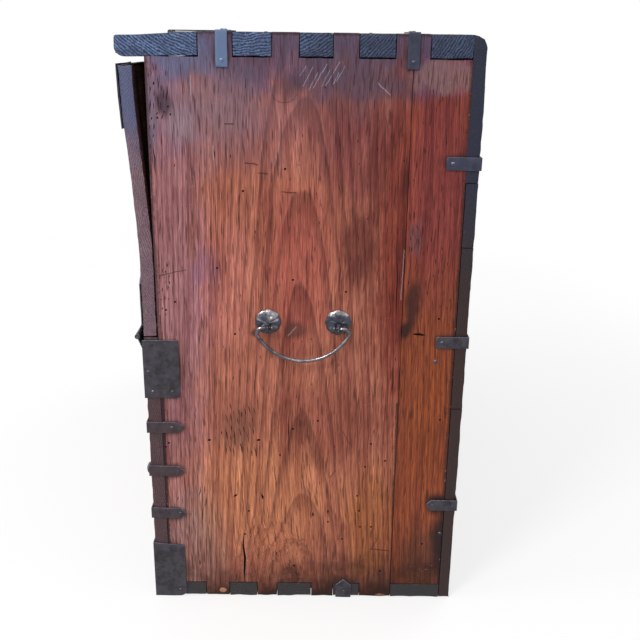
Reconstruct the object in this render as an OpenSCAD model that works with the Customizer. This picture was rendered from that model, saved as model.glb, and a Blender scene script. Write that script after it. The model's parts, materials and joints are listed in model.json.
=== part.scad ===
// Blanket chest with a drop front: a finger-jointed plank case, dressed with nailed iron straps.
// Millimetres. X runs along the front, Y from front to back, Z up.
// The origin is on the floor, in the middle of the width and of the depth over the front and back boards.

/* [Case] */
// Width over the side panels
case_w = 900; // [760:10:1100]
// Height from the floor to the top surface
case_h = 760; // [740:5:900]
// Depth of the side panels, from front edge to back edge
side_d = 380; // [360:5:460]
// Thickness of the side panels
side_t = 18; // [14:1:22]
// Width of the side panel's back plank, behind the seam
side_back_plank_w = 69; // [40:1:120]
// Thickness of the lower front board
front_t = 19; // [16:1:22]
// Height of the lower front board
lower_front_h = 388.5; // [330:0.5:400]
// Thickness of the back planks
back_t = 16; // [12:1:20]
// Thickness of the top board
top_t = 28; // [22:1:34]
// Overhang of the top board in front of the lower front board
top_overhang = 16; // [12:1:19]
// Radius of the top board's upper front edge
top_edge_r = 5; // [2:0.5:6]
// Radius of the top board's lower front edge
top_nose_r = 12; // [4:1:14]
// Thickness of the bottom board
bottom_t = 22; // [16:1:26]

/* [Door] */
// Thickness of the door
door_t = 18; // [15:0.5:20]
// Gap between the door's top edge and the top board
door_head_gap = 9; // [5:0.5:14]
// Gap between the door and the lower front board
door_foot_gap = 1; // [0.6:0.1:2]
// Clearance between the closed door and the edges of the case
door_seat_gap = 0.4; // [0.3:0.1:1]
// How far the door's upper right corner has warped away from the case
warp = 13; // [0:0.5:14]
// Width of the warped stretch at the door's right end
warp_w = 240; // [180:10:260]
// Distance above the end hinges at which the wood begins to warp
warp_above_hinge = 1; // [0:1:60]

/* [Hinges] */
// Width of a hinge
hinge_w = 60; // [45:1:80]
// How far the hinge axis stands in front of the lower front board
hinge_standoff = 7.2; // [6.4:0.1:8]
// Outer radius of the knuckles of the hinges and of the hasp
knuckle_r = 3.5; // [3.3:0.1:4]
// Radius of the pins of the hinges and of the hasp
pin_r = 1.8; // [1.4:0.1:2]
// Radial clearance round a pin
pin_clear = 0.06; // [0.02:0.01:0.1]
// Gap between neighbouring knuckles
knuckle_gap = 0.4; // [0.3:0.1:1]
// Length of a hinge leaf above or below the axis
leaf_len = 84; // [70:1:100]
// Distance from the axis at which a leaf leaves the wood
leaf_bend = 17; // [14:0.5:22]
// Length of the clipped corners of the end hinges' upper leaves
leaf_clip = 14; // [8:1:20]

/* [Ironwork] */
// Thickness of the iron sheet
iron_t = 1.6; // [1:0.1:2]
// Width of the straps round the corners
strap_w = 16; // [12:0.5:19]
// Length of a front strap on the side panel, up to its point
front_strap_reach = 28.6; // [24:0.2:34]
// Length of the point of a strap
strap_point = 10; // [6:0.5:12]
// Length of the straps on the front, back and top faces
strap_leg = 58; // [40:1:80]
// Height of the lowest front strap above the floor
front_strap_low_h = 133.5; // [120:0.5:150]
// Height of the middle front strap above the floor
front_strap_mid_h = 198; // [185:0.5:210]
// Height of the upper front strap above the floor
front_strap_high_h = 262.5; // [250:0.5:275]
// Height of the corner plates
corner_plate_h = 87; // [70:1:100]
// Length of the corner plates on the side panel
corner_plate_reach = 23; // [18:1:30]
// Length of the corner plates on the front
corner_plate_leg = 96; // [70:1:130]
// Radius of the scoop at the end of the corner plates on the front
corner_scoop_r = 29; // [20:1:34]
// Length of the hinges' wrapped leaf on the side panel
wrap_reach = 26; // [20:1:34]
// Height of the wrapped leaf's lower edge above the floor
wrap_foot_h = 304.5; // [296:0.5:306]
// Length of the back straps on the side panel
back_strap_reach = 25; // [18:1:34]
// Height of the lowest back strap above the floor
back_strap_low_h = 149.5; // [120:0.5:180]
// Height of the middle back strap above the floor
back_strap_mid_h = 386; // [350:0.5:420]
// Drop of the upper back strap below the top surface
back_strap_drop = 147; // [120:1:180]
// Width of the top straps
top_strap_w = 14; // [10:0.5:18]
// Length of the top straps on the side panel, from the top surface
top_strap_drop = 41; // [36:1:60]
// Distance of the front top strap behind the side panel's front edge
top_strap_front_at = 89.5; // [80:0.5:98]
// Distance of the rear top strap before the side panel's back edge
top_strap_back_at = 69.5; // [60:0.5:100]
// Width of the bottom straps
bottom_strap_w = 21.6; // [14:0.2:24]
// Height of the bottom straps' tip above the floor
bottom_strap_h = 30; // [26:1:45]
// Distance of the bottom straps behind the side panel's front edge
bottom_strap_at = 244.4; // [242:0.2:256]
// Diameter of a small nail head
nail_d = 5; // [3:0.5:6]
// Height of a small nail head
nail_h = 1.2; // [0.6:0.1:1.6]
// Diameter of the domed boss on the middle front strap
boss_d = 15; // [8:0.5:16]
// Height of the domed boss
boss_h = 4; // [2:0.5:4.5]

/* [Handles] */
// Distance between the eyes of a handle
eye_spacing = 89; // [80:1:110]
// Height of the side handles' pivots above the floor
side_handle_h = 406.6; // [380:0.5:420]
// Distance of the middle of the side handles behind the side panel's front edge
side_handle_at = 185.5; // [170:0.5:200]
// Distance of the pivots from the wood
handle_standoff = 11.5; // [11:0.5:15]
// How far the bail's long arc ends outside its eyes
bail_splay = 15.2; // [14:0.2:20]
// Half the angle of the bail's long arc
bail_half_angle = 64.4; // [50:0.2:68]
// Bend radius of the bail's shoulders
shoulder_r = 7; // [6:0.5:9]
// Diameter of the bail's rod
rod_d = 5.4; // [4:0.2:6]
// Diameter of the bail's ends, where they pass through the eyes
rod_end_d = 4; // [3:0.2:4.4]
// Diameter of the knob at the end of a bail
knob_d = 8; // [6:0.5:9]
// Clearance between a bail's end and its eye
eye_clear = 0.35; // [0.2:0.05:0.6]
// Diameter of the wire of an eye
eye_wire_d = 3; // [2:0.1:3.4]
// Diameter of a rosette
rosette_d = 33; // [26:1:36]
// Height of a rosette's dome
rosette_h = 5; // [2:0.5:5]
// Rise of a rosette's centre above the pivot
rosette_rise = 4.8; // [4:0.2:5]
// Number of petals of a rosette
petals = 8; // [5:1:10]
// Distance of the door pulls' pivots below the door's top edge
pull_drop = 79; // [60:1:160]
// Distance of each door pull from the middle of the front
pull_at = 138; // [130:1:200]

/* [Lock] */
// Width of the lock plate
lock_plate_w = 84; // [60:1:100]
// Height of the lock plate
lock_plate_h = 80; // [60:1:82]
// Radius of the scoops at the corners of the lock plate
lock_scoop_r = 12; // [6:1:18]
// Diameter of the staple's rod
staple_d = 5; // [4:0.2:6]
// Distance between the staple's legs
staple_spread = 16; // [14:1:20]
// How far the staple stands out in front of the hanging hasp
staple_nose = 12; // [10:0.5:16]
// Thickness of the hasp
hasp_t = 2; // [1.6:0.1:2.4]
// Width of the hasp
hasp_w = 26; // [20:1:32]
// Length of the hasp from its axis
hasp_len = 106; // [98:1:120]
// Distance of the slot's middle from the hasp's axis
slot_at = 78; // [74:1:84]
// Clearance of the slot round the staple, at the sides
slot_side_clear = 2; // [1.5:0.1:3]
// Clearance of the slot round the staple, at the ends
slot_end_clear = 3.5; // [3:0.1:5]
// Width of the hasp's knuckle
hasp_knuckle_w = 20; // [14:1:24]
// Width of each knuckle of the hasp's mount
mount_knuckle_w = 10; // [6:1:14]
// Clearance between the hasp and the wood or iron beside it
hasp_clear = 0.4; // [0.3:0.1:1]
// Width of the hasp's mount on the top board's front edge
mount_w = 76; // [68:1:100]
// Height of the hasp's mount
mount_h = 13; // [10:1:16]
// Width of the corner plates on the door
door_corner_w = 70; // [50:2:100]
// Height of the corner plates on the door
door_corner_h = 74; // [50:2:90]

/* [Hidden] */

// Facets of a full round when it is drawn
$fn = 48;

// Colours
old_wood = "#7a3b2a";
dark_wood = "#4c2a24";
end_wood = "#3c3a44";
iron = "#3b3a3d";
worn_iron = "#6d6a6c";

// Places of the case
half_w = case_w / 2;
side_seam = side_d - side_back_plank_w;
front_y = -(front_t + side_d + back_t) / 2;
side_front_y = front_y + front_t;
side_back_y = side_front_y + side_d;
back_y = side_back_y + back_t;
top_front_y = front_y - top_overhang;
top_z = case_h - top_t;
// Overlong reach of a cutting block, so that it passes the faces it cuts
past = 5;

// Fingers of the side panels, as distances behind their front edge; the last ones lie at the seam
top_fingers = [[62, 102], [147, 179], [218, 248], [side_seam - 21, side_seam + 19]];
bottom_fingers = [[51, 84], [123, 151], [199, 230], [side_seam - 44, side_seam]];
// A finger is left out where it would come closer than this to the panel's back edge
finger_margin = 25;

// Drops of the back planks' upper edges below the top surface, from the lowest plank up
back_plank_drops = [467, 250, 170, 0];
// Radius of the back's rounded upper edge
back_edge_r = back_t - 1;

// Places of the door
door_foot_z = lower_front_h + door_foot_gap;
door_head_z = top_z - door_head_gap;
door_back_y = side_front_y - door_seat_gap;
door_face_y = door_back_y - door_t;
// Gap under the iron that is laid on the warped wood, and under its nails
bed_gap = 0.25;
// Cells of the warped door along X and Z, and of its corner plate
warp_columns = 10;
warp_rows = 16;
plate_cells = 4;
// Exponent of the warp's rise, which keeps its lower part straighter
warp_power = 1.1;

// Hinge axis
hinge_y = front_y - hinge_standoff;
hinge_z = lower_front_h + door_foot_gap / 2;
bore_r = pin_r + pin_clear;
// Room round the knuckles of the other leaf
knuckle_room = 0.8;
// Half the length of a middle knuckle
half_knuckle = hinge_w / 6;
// Height at which the warp begins, and height of the warped stretch
warp_foot_z = hinge_z + leaf_len + warp_above_hinge;
warp_h = door_head_z - warp_foot_z;
// Middle of the right end hinge
end_hinge_x = half_w - hinge_w / 2;

// Hasp axis
hasp_y = top_front_y - iron_t - hasp_clear - knuckle_r;
hasp_z = case_h + hasp_clear + hasp_t - knuckle_r;
staple_z = hasp_z - slot_at;
plate_face_y = door_face_y - iron_t;
// The lock plate hangs this far below the door's top edge
lock_plate_inset = 2;
lock_plate_z = door_head_z - lock_plate_inset - lock_plate_h / 2;
// Length of the hasp's narrow neck, of its splay to full width, and of its rounded tip
hasp_neck = 9;
hasp_splay = 4;
hasp_point = 18;
hasp_face_y = hasp_y + knuckle_r - hasp_t;
// Overlap of the mount's lugs with its plate, and their height above the axis
lug_lap = 1;

// Handles
eye_ring_r = rod_end_d / 2 + eye_clear + eye_wire_d / 2;
side_handle_y = side_front_y + side_handle_at;
arc_end_x = eye_spacing / 2 + bail_splay;
bail_r = arc_end_x / sin(bail_half_angle);
arc_end_drop = shoulder_r * (1 + cos(bail_half_angle));
shoulder_x = arc_end_x - shoulder_r * sin(bail_half_angle);
bail_drop = bail_r * (1 - cos(bail_half_angle)) + arc_end_drop;
// Length of a bail's thin end on both sides of its eye, and of its knob
end_play = 0.8;
end_inside = 4;
knob_len = 3;
// Half the length of a forged collar over a joint of the rod, and its diameter
collar_half = 1.2;
collar_d = rod_d + 0.6;
// Shank of an eye, and its clearance in the rosette
shank_d = eye_wire_d + 0.6;
shank_clear = 0.2;
// Thickness of a rosette's rim, and the petals' radius as a share of the rosette's
rosette_rim = 0.8;
petal_share = 0.42;

// Distances of nails from the edges of their plates
edge_inset = 8;
foot_inset = 9;
corner_inset = 10;
leg_inset = 14;
bend_inset = 28;
// Height of the upper nails of a wrapped leaf above its lower edge
leaf_nail_rise = 37;
// Distance of a leaf's outer nails from its middle
leaf_nail_x = hinge_w / 3;
// Iron between the boss and the bend of its strap
boss_margin = 1;
// Nails driven into the wood of the side panel: distance before its back edge, and height
wood_nails = [[24, 360], [4, 105]];

// Inner ends of the straps on the front, back and top faces
strap_end_x = half_w - strap_leg;
// Heights of the back straps, and places of the top straps behind the side panel's front edge
back_strap_places = [back_strap_low_h, back_strap_mid_h, case_h - back_strap_drop];
top_strap_places = [top_strap_front_at, side_d - top_strap_back_at];
// Nails of a door corner plate, as distances from the door's end and from its top edge
door_corner_nails = [
    [edge_inset, edge_inset],
    [door_corner_w - edge_inset, edge_inset],
    [edge_inset, door_corner_h - edge_inset]
];

// Clipped corners of the back straps, and the longer ones of the lowest
back_clip = 1.5;
back_clip_low = 6;
// Steps of each of the two arcs of a strap's tongue
arc_steps = 8;

// Helpers

module mirrored_left() {
    mirror([1, 0, 0]) children();
}

// Block between two corners
module block(a, b) {
    translate(a) cube(b - a);
}

// Cap of a sphere of a given diameter and height, on the XY plane
module dome(d, h) {
    cap_r = (d * d / 4 + h * h) / (2 * h);
    intersection() {
        translate([0, 0, h - cap_r]) sphere(cap_r);
        cylinder(d = d + past, h = h + past);
    }
}

// Turn what is drawn on the XY plane, facing +Z, to face a side of the chest
module facing_right() {
    rotate([90, 0, 90]) children();
}

module facing_front() {
    rotate([90, 0, 0]) children();
}

module facing_back() {
    rotate([90, 0, 180]) children();
}

function steps(a, b, n) = [for (i = [0 : n]) a + (b - a) * i / n];

// Outline of a strap that runs along +X from 0 to len and ends in a point
function pointed(len, w, point) = [
    [0, -w / 2], [len - point, -w / 2], [len, 0], [len - point, w / 2], [0, w / 2]
];

// Outline of a strap with clipped corners at its end
function clipped(len, w, clip) = [
    [0, -w / 2], [len - clip, -w / 2], [len, clip - w / 2],
    [len, w / 2 - clip], [len - clip, w / 2], [0, w / 2]
];

// Outline of a strap whose end is drawn in to a tongue by two arcs
function tongue(len, w, point) = concat(
    [[0, -w / 2]],
    [for (a = steps(0, 90, arc_steps)) [len - point * (1 - sin(a)), -w / 2 * cos(a)]],
    [for (a = steps(90, 0, arc_steps)) if (a < 90) [len - point * (1 - sin(a)), w / 2 * cos(a)]],
    [[0, w / 2]]
);

// Case

// Plank of the right side panel, between two distances behind the panel's front edge
module side_plank(a, b) {
    translate([half_w - side_t, side_front_y, 0]) facing_right() linear_extrude(side_t) {
        translate([a, bottom_t]) square([b - a, top_z - bottom_t]);
        for (f = kept(top_fingers)) finger(max(f[0], a), min(f[1], b), top_z, top_t);
        for (f = kept(bottom_fingers)) finger(max(f[0], a), min(f[1], b), 0, bottom_t);
    }
}

function kept(fingers) = [for (f = fingers) if (f[1] < side_d - finger_margin) f];

module finger(from, to, z, h) {
    if (to > from) translate([from, z]) square([to - from, h]);
}

module right_side_front_plank() {
    color(old_wood) side_plank(0, side_seam);
}

module right_side_back_plank() {
    color(old_wood) side_plank(side_seam, side_d);
}

module left_side_front_plank() {
    color(old_wood) mirrored_left() side_plank(0, side_seam);
}

module left_side_back_plank() {
    color(old_wood) mirrored_left() side_plank(side_seam, side_d);
}

// Notches in a board's two ends for the side panels' fingers
module notches(fingers, z0, z1) {
    for (side = [0, 1])
        mirror([side, 0, 0])
            for (f = kept(fingers))
                block([half_w - side_t, side_front_y + f[0], z0], [half_w + past, side_front_y + f[1], z1]);
}

module top_board() {
    color(end_wood)
        difference() {
            translate([-half_w, 0, 0]) facing_right() linear_extrude(case_w) top_outline();
            notches(top_fingers, top_z - past, case_h + past);
        }
}

// Section of the top board, with Y to the right and Z up
module top_outline() {
    difference() {
        translate([top_front_y, top_z]) square([side_back_y - top_front_y, top_t]);
        rounding([top_front_y, case_h], top_edge_r, 1, -1);
        rounding([top_front_y, top_z], top_nose_r, 1, 1);
    }
}

// What is cut off to round a corner; sx and sy point from the corner into the material
module rounding(corner, r, sx, sy) {
    centre = corner + [sx * r, sy * r];
    difference() {
        translate([corner[0] + (sx > 0 ? -past : -r), corner[1] + (sy > 0 ? -past : -r)]) square(r + past);
        translate(centre) circle(r);
    }
}

module bottom_board() {
    color(dark_wood)
        difference() {
            block([-half_w, side_front_y, 0], [half_w, side_back_y, bottom_t]);
            notches(bottom_fingers, -past, bottom_t + past);
            for (side = [0, 1]) mirror([side, 0, 0]) bottom_strap_foot(past);
        }
}

module lower_front_board() {
    color(dark_wood) block([-half_w, front_y, 0], [half_w, side_front_y, lower_front_h]);
}

// Back plank number i, counted from the floor
module back_plank(i) {
    z0 = i == 0 ? 0 : case_h - back_plank_drops[i - 1];
    z1 = case_h - back_plank_drops[i];
    color(dark_wood)
        translate([-half_w, 0, 0]) facing_right() linear_extrude(case_w)
            difference() {
                translate([side_back_y, z0]) square([back_t, z1 - z0]);
                if (z1 == case_h) rounding([back_y, case_h], back_edge_r, -1, -1);
            }
}

module back_plank_1() {
    back_plank(0);
}

module back_plank_2() {
    back_plank(1);
}

module back_plank_3() {
    back_plank(2);
}

module back_plank_4() {
    back_plank(3);
}

// Door

function smooth(t) = let (u = min(max(t, 0), 1)) u * u * (3 - 2 * u);

// How far the wood has moved to the front at a place on the door
function warp_at(x, z) = warp * pow(smooth((z - warp_foot_z) / warp_h), warp_power)
    * smooth((x - half_w + warp_w) / warp_w);

// Triangles between two neighbouring lines of points, given as lists of point numbers
function strip(p, q) = [
    for (n = [0 : len(p) - 2]) each [[p[n], q[n], q[n + 1]], [p[n], q[n + 1], p[n + 1]]]
];

// Slab that follows the warp, between two planes of the straight door
module warped_slab(xs, zs, y0, y1) {
    nx = len(xs);
    nz = len(zs);
    points = [for (y = [y0, y1]) for (z = zs) for (x = xs) [x, y - warp_at(x, z), z]];
    // Lines of point numbers along X and Z, on the front with layer 0 and on the back with layer 1
    function row(j, layer) = [for (i = [0 : nx - 1]) (layer * nz + j) * nx + i];
    function column(i, layer) = [for (j = [0 : nz - 1]) (layer * nz + j) * nx + i];
    polyhedron(points, concat(
        [for (j = [0 : nz - 2]) each strip(row(j, 0), row(j + 1, 0))],
        [for (i = [0 : nx - 2]) each strip(column(i, 1), column(i + 1, 1))],
        strip(row(0, 1), row(0, 0)),
        strip(row(nz - 1, 0), row(nz - 1, 1)),
        strip(column(0, 0), column(0, 1)),
        strip(column(nx - 1, 1), column(nx - 1, 0))
    ));
}

module door_panel() {
    xs = concat([-half_w], steps(half_w - warp_w, half_w, warp_columns));
    zs = concat([door_foot_z], steps(warp_foot_z, door_head_z, warp_rows));
    color(dark_wood) warped_slab(xs, zs, door_face_y, door_back_y);
}

// Hinges

// Plate and sloping strip of a leaf on its face, from the bend outwards; up is 1 or -1
module leaf_sheet(face_y, up) {
    f = face_y - hinge_y;
    // Ends of the strip at the knuckle, a little inside its wall
    meet = (bore_r + knuckle_r) / 2;
    a = atan2(leaf_bend, f - iron_t / 2);
    along = [cos(a), sin(a)];
    across = [sin(a), -cos(a)] * iron_t / 2;
    section = [along * meet - across, along * meet + across, [f, leaf_bend], [f - iron_t, leaf_bend]];
    translate([-hinge_w / 2, hinge_y, hinge_z]) facing_right() linear_extrude(hinge_w)
        polygon([for (p = section) [p[0], up * p[1]]]);
}

// Flat part of a leaf, with its outline on the face
module leaf_plate(face_y, up) {
    translate([0, face_y, hinge_z + up * leaf_bend]) facing_front() rotate(up * 90)
        linear_extrude(iron_t) children();
}

// Knuckles of one leaf: the two outer ones, or the middle one; grow lengthens them for cutting
module knuckles(outer, r, grow = 0) {
    start = outer ? half_knuckle + knuckle_gap / 2 : 0;
    end = outer ? hinge_w / 2 : half_knuckle - knuckle_gap / 2;
    for (side = [0, 1])
        mirror([side, 0, 0]) translate([start - grow, hinge_y, hinge_z]) rotate([0, 90, 0])
            cylinder(r = r, h = end - start + 2 * grow);
}

module leaf(face_y, up, outer) {
    difference() {
        union() {
            difference() {
                leaf_sheet(face_y, up);
                knuckles(!outer, knuckle_r + knuckle_room, knuckle_gap);
            }
            knuckles(outer, knuckle_r);
            leaf_plate(face_y, up) children();
        }
        translate([0, hinge_y, hinge_z]) rotate([0, 90, 0])
            cylinder(r = bore_r, h = hinge_w + 2 * past, center = true);
    }
}

module end_leaf_upper() {
    leaf(door_face_y, 1, false) polygon(clipped(leaf_len - leaf_bend, hinge_w, leaf_clip));
}

module middle_leaf_outline() {
    polygon(tongue(leaf_len - leaf_bend, hinge_w, hinge_w / 2));
}

// Lower leaf of an end hinge, drawn at the right end, wrapped round on to the side panel
module end_leaf_lower() {
    translate([end_hinge_x, 0, 0])
        leaf(front_y, -1, true)
            translate([0, -hinge_w / 2]) square([hinge_z - leaf_bend - wrap_foot_h, hinge_w]);
    translate([half_w, 0, 0]) facing_right() linear_extrude(iron_t)
        translate([front_y - iron_t, wrap_foot_h])
            square([front_t + iron_t + wrap_reach, lower_front_h - knuckle_r - wrap_foot_h]);
}

module hinge_pin(x) {
    color(worn_iron) translate([x, hinge_y, hinge_z]) rotate([0, 90, 0])
        cylinder(r = pin_r, h = hinge_w, center = true);
}

module right_hinge_lower_leaf() {
    color(iron) end_leaf_lower();
}

module left_hinge_lower_leaf() {
    color(iron) mirrored_left() end_leaf_lower();
}

module right_hinge_upper_leaf() {
    color(iron) translate([end_hinge_x, 0, 0]) end_leaf_upper();
}

module left_hinge_upper_leaf() {
    color(iron) mirrored_left() translate([end_hinge_x, 0, 0]) end_leaf_upper();
}

module middle_hinge_upper_leaf() {
    color(iron) leaf(door_face_y, 1, false) middle_leaf_outline();
}

module middle_hinge_lower_leaf() {
    color(iron) leaf(front_y, -1, true) middle_leaf_outline();
}

module right_hinge_pin() {
    hinge_pin(end_hinge_x);
}

module left_hinge_pin() {
    hinge_pin(-end_hinge_x);
}

module middle_hinge_pin() {
    hinge_pin(0);
}

// Straps and plates of the right side

// Leg on the side panel, from the front corner backwards, with its outline along +X
module side_leg_from_front(z) {
    translate([half_w, front_y - iron_t, z]) facing_right() linear_extrude(iron_t) children();
}

// Leg on the front, from the right corner inwards
module front_leg(z) {
    translate([half_w, front_y, z]) facing_front() mirror([1, 0, 0]) linear_extrude(iron_t) children();
}

module front_strap_outline(len, style) {
    if (style == "tongue") polygon(tongue(len, strap_w, strap_w));
    if (style == "pointed") polygon(pointed(len, strap_w, strap_point));
}

module front_strap(z, style) {
    side_leg_from_front(z) front_strap_outline(iron_t + front_t + front_strap_reach, style);
    front_leg(z) front_strap_outline(strap_leg, style);
}

module corner_plate() {
    side_leg_from_front(corner_plate_h / 2)
        translate([0, -corner_plate_h / 2])
            square([iron_t + front_t + corner_plate_reach, corner_plate_h]);
    front_leg(corner_plate_h / 2)
        difference() {
            translate([0, -corner_plate_h / 2]) square([corner_plate_leg, corner_plate_h]);
            translate([corner_plate_leg, corner_plate_h / 2]) circle(corner_scoop_r);
        }
}

module back_strap(z, clip) {
    translate([half_w, back_y + iron_t, z]) facing_right() mirror([1, 0, 0]) linear_extrude(iron_t)
        polygon(clipped(iron_t + back_t + back_strap_reach, strap_w, clip));
    translate([half_w, back_y, z]) facing_back() linear_extrude(iron_t)
        polygon(clipped(strap_leg, strap_w, clip));
}

module top_strap(y) {
    block([half_w, y - top_strap_w / 2, case_h - top_strap_drop + iron_t],
        [half_w + iron_t, y + top_strap_w / 2, case_h + iron_t]);
    block([half_w - strap_leg, y - top_strap_w / 2, case_h],
        [half_w, y + top_strap_w / 2, case_h + iron_t]);
}

module right_straps_on_top() {
    top_strap(side_front_y + top_strap_front_at);
    top_strap(side_back_y - top_strap_back_at);
}

// Foot of the right bottom strap, let into the bottom board; down makes it deeper for cutting
module bottom_strap_foot(down = 0) {
    y = side_front_y + bottom_strap_at;
    block([half_w - strap_leg, y - bottom_strap_w / 2, -down],
        [half_w + down, y + bottom_strap_w / 2, iron_t]);
}

module bottom_strap() {
    bottom_strap_foot();
    translate([half_w, side_front_y + bottom_strap_at, 0]) facing_right() rotate(90) linear_extrude(iron_t)
        polygon(pointed(bottom_strap_h, bottom_strap_w, strap_point));
}

module right_strap_low() {
    color(iron) front_strap(front_strap_low_h, "pointed");
}

module right_strap_mid() {
    color(iron) front_strap(front_strap_mid_h, "pointed");
}

module right_strap_high() {
    color(iron) front_strap(front_strap_high_h, "tongue");
}

module left_strap_low() {
    color(iron) mirrored_left() front_strap(front_strap_low_h, "pointed");
}

module left_strap_mid() {
    color(iron) mirrored_left() front_strap(front_strap_mid_h, "pointed");
}

module left_strap_high() {
    color(iron) mirrored_left() front_strap(front_strap_high_h, "tongue");
}

module right_corner_plate() {
    color(iron) corner_plate();
}

module left_corner_plate() {
    color(iron) mirrored_left() corner_plate();
}

module right_back_strap_low() {
    color(iron) back_strap(back_strap_low_h, back_clip_low);
}

module right_back_strap_mid() {
    color(iron) back_strap(back_strap_mid_h, back_clip);
}

module right_back_strap_high() {
    color(iron) back_strap(case_h - back_strap_drop, back_clip);
}

module left_back_strap_low() {
    color(iron) mirrored_left() back_strap(back_strap_low_h, back_clip_low);
}

module left_back_strap_mid() {
    color(iron) mirrored_left() back_strap(back_strap_mid_h, back_clip);
}

module left_back_strap_high() {
    color(iron) mirrored_left() back_strap(case_h - back_strap_drop, back_clip);
}

module right_top_straps() {
    color(iron) right_straps_on_top();
}

module left_top_straps() {
    color(iron) mirrored_left() right_straps_on_top();
}

module bottom_straps() {
    color(iron) for (side = [0, 1]) mirror([side, 0, 0]) bottom_strap();
}

// Handles, drawn with X along the pivots, Y up and Z away from the wood, from the middle of the pivots

module ring_arc(r, d, angle) {
    rotate_extrude(angle = angle) translate([r, 0]) circle(d = d);
}

module bail() {
    translate([0, bail_r - bail_drop, 0]) rotate(-90 - bail_half_angle)
        ring_arc(bail_r, rod_d, 2 * bail_half_angle);
    for (side = [0, 1])
        mirror([side, 0, 0]) bail_end();
}

// Shoulder, thin end and knob on the right
module bail_end() {
    thin_from = eye_spacing / 2 + eye_wire_d / 2 + end_play;
    thin_to = eye_spacing / 2 - end_inside;
    translate([shoulder_x, -shoulder_r, 0]) rotate(bail_half_angle - 90)
        ring_arc(shoulder_r, rod_d, 180 - bail_half_angle);
    translate([arc_end_x, -arc_end_drop, 0]) rotate(bail_half_angle)
        round_bar(-collar_half, collar_half, collar_d);
    round_bar(thin_from, shoulder_x + collar_half, collar_d);
    round_bar(thin_to, thin_from, rod_end_d);
    round_bar(thin_to - knob_len, thin_to, knob_d);
}

// Round bar along X, between two places
module round_bar(from, to, d) {
    translate([from, 0, 0]) rotate([0, 90, 0]) cylinder(d = d, h = to - from);
}

// The two eyes of a handle
module eyes() {
    for (side = [0, 1])
        mirror([side, 0, 0]) translate([eye_spacing / 2, 0, 0]) {
            rotate([0, 90, 0]) ring_arc(eye_ring_r, eye_wire_d, 360);
            translate([0, rosette_rise, -handle_standoff])
                cylinder(d = shank_d, h = handle_standoff + eye_wire_d / 2);
        }
}

// The two rosettes of a handle
module rosettes() {
    for (side = [0, 1])
        mirror([side, 0, 0]) translate([eye_spacing / 2, rosette_rise, -handle_standoff]) rosette();
}

module rosette() {
    difference() {
        intersection() {
            union() {
                cylinder(d = rosette_d, h = rosette_rim);
                translate([0, 0, rosette_rim]) dome(rosette_d, rosette_h - rosette_rim);
            }
            petal_outline();
        }
        translate([0, 0, -past]) cylinder(d = shank_d + 2 * shank_clear, h = rosette_h + 2 * past);
    }
}

module petal_outline() {
    petal_r = rosette_d / 2 * petal_share;
    translate([0, 0, -past]) linear_extrude(rosette_h + 2 * past) {
        circle(rosette_d / 2 - petal_r);
        for (i = [0 : petals - 1])
            rotate(360 * i / petals) translate([rosette_d / 2 - petal_r, 0]) circle(petal_r);
    }
}

// Place of the right side handle, and of the door's right pull
module at_side_handle() {
    translate([half_w + handle_standoff, side_handle_y, side_handle_h]) facing_right() children();
}

module at_pull() {
    translate([pull_at, door_face_y - handle_standoff, door_head_z - pull_drop]) facing_front() children();
}

module right_rosettes() {
    color(iron) at_side_handle() rosettes();
}

module right_eyes() {
    color(worn_iron) at_side_handle() eyes();
}

module right_bail() {
    color(worn_iron) at_side_handle() bail();
}

module left_rosettes() {
    color(iron) mirrored_left() at_side_handle() rosettes();
}

module left_eyes() {
    color(worn_iron) mirrored_left() at_side_handle() eyes();
}

module left_bail() {
    color(worn_iron) mirrored_left() at_side_handle() bail();
}

module pull_rosettes() {
    color(iron) for (side = [0, 1]) mirror([side, 0, 0]) at_pull() rosettes();
}

module pull_eyes() {
    color(worn_iron) for (side = [0, 1]) mirror([side, 0, 0]) at_pull() eyes();
}

module right_pull() {
    color(worn_iron) at_pull() bail();
}

module left_pull() {
    color(worn_iron) mirrored_left() at_pull() bail();
}

// Door ironwork

// Plate on the door's upper right corner, laid on the warped wood
module door_corner() {
    xs = steps(half_w - door_corner_w, half_w, plate_cells);
    zs = steps(door_head_z - door_corner_h, door_head_z, plate_cells);
    warped_slab(xs, zs, door_face_y - bed_gap - iron_t, door_face_y - bed_gap);
}

module door_corner_right() {
    color(iron) door_corner();
}

// The left end isn't warped, so this plate is flat
module door_corner_left() {
    color(iron) block([-half_w, door_face_y - iron_t, door_head_z - door_corner_h],
        [door_corner_w - half_w, door_face_y, door_head_z]);
}

module lock_plate() {
    color(iron) translate([0, door_face_y, lock_plate_z]) facing_front() linear_extrude(iron_t)
        difference() {
            square([lock_plate_w, lock_plate_h], center = true);
            for (x = [-1, 1])
                for (y = [-1, 1])
                    translate([x * lock_plate_w / 2, y * lock_plate_h / 2]) circle(lock_scoop_r);
        }
}

module lock_staple() {
    bend_r = staple_spread / 2;
    bend_y = hasp_face_y - staple_nose + staple_d / 2 + bend_r;
    color(worn_iron) {
        translate([0, bend_y, staple_z]) rotate([0, -90, 180]) ring_arc(bend_r, staple_d, 180);
        for (side = [-1, 1])
            translate([0, plate_face_y, staple_z + side * bend_r]) facing_front()
                cylinder(d = staple_d, h = plate_face_y - bend_y);
    }
}

// Hasp, drawn as it lies flipped back on the top board

module hasp_bore() {
    translate([0, hasp_y, hasp_z]) rotate([0, 90, 0]) cylinder(r = bore_r, h = mount_w, center = true);
}

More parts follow.
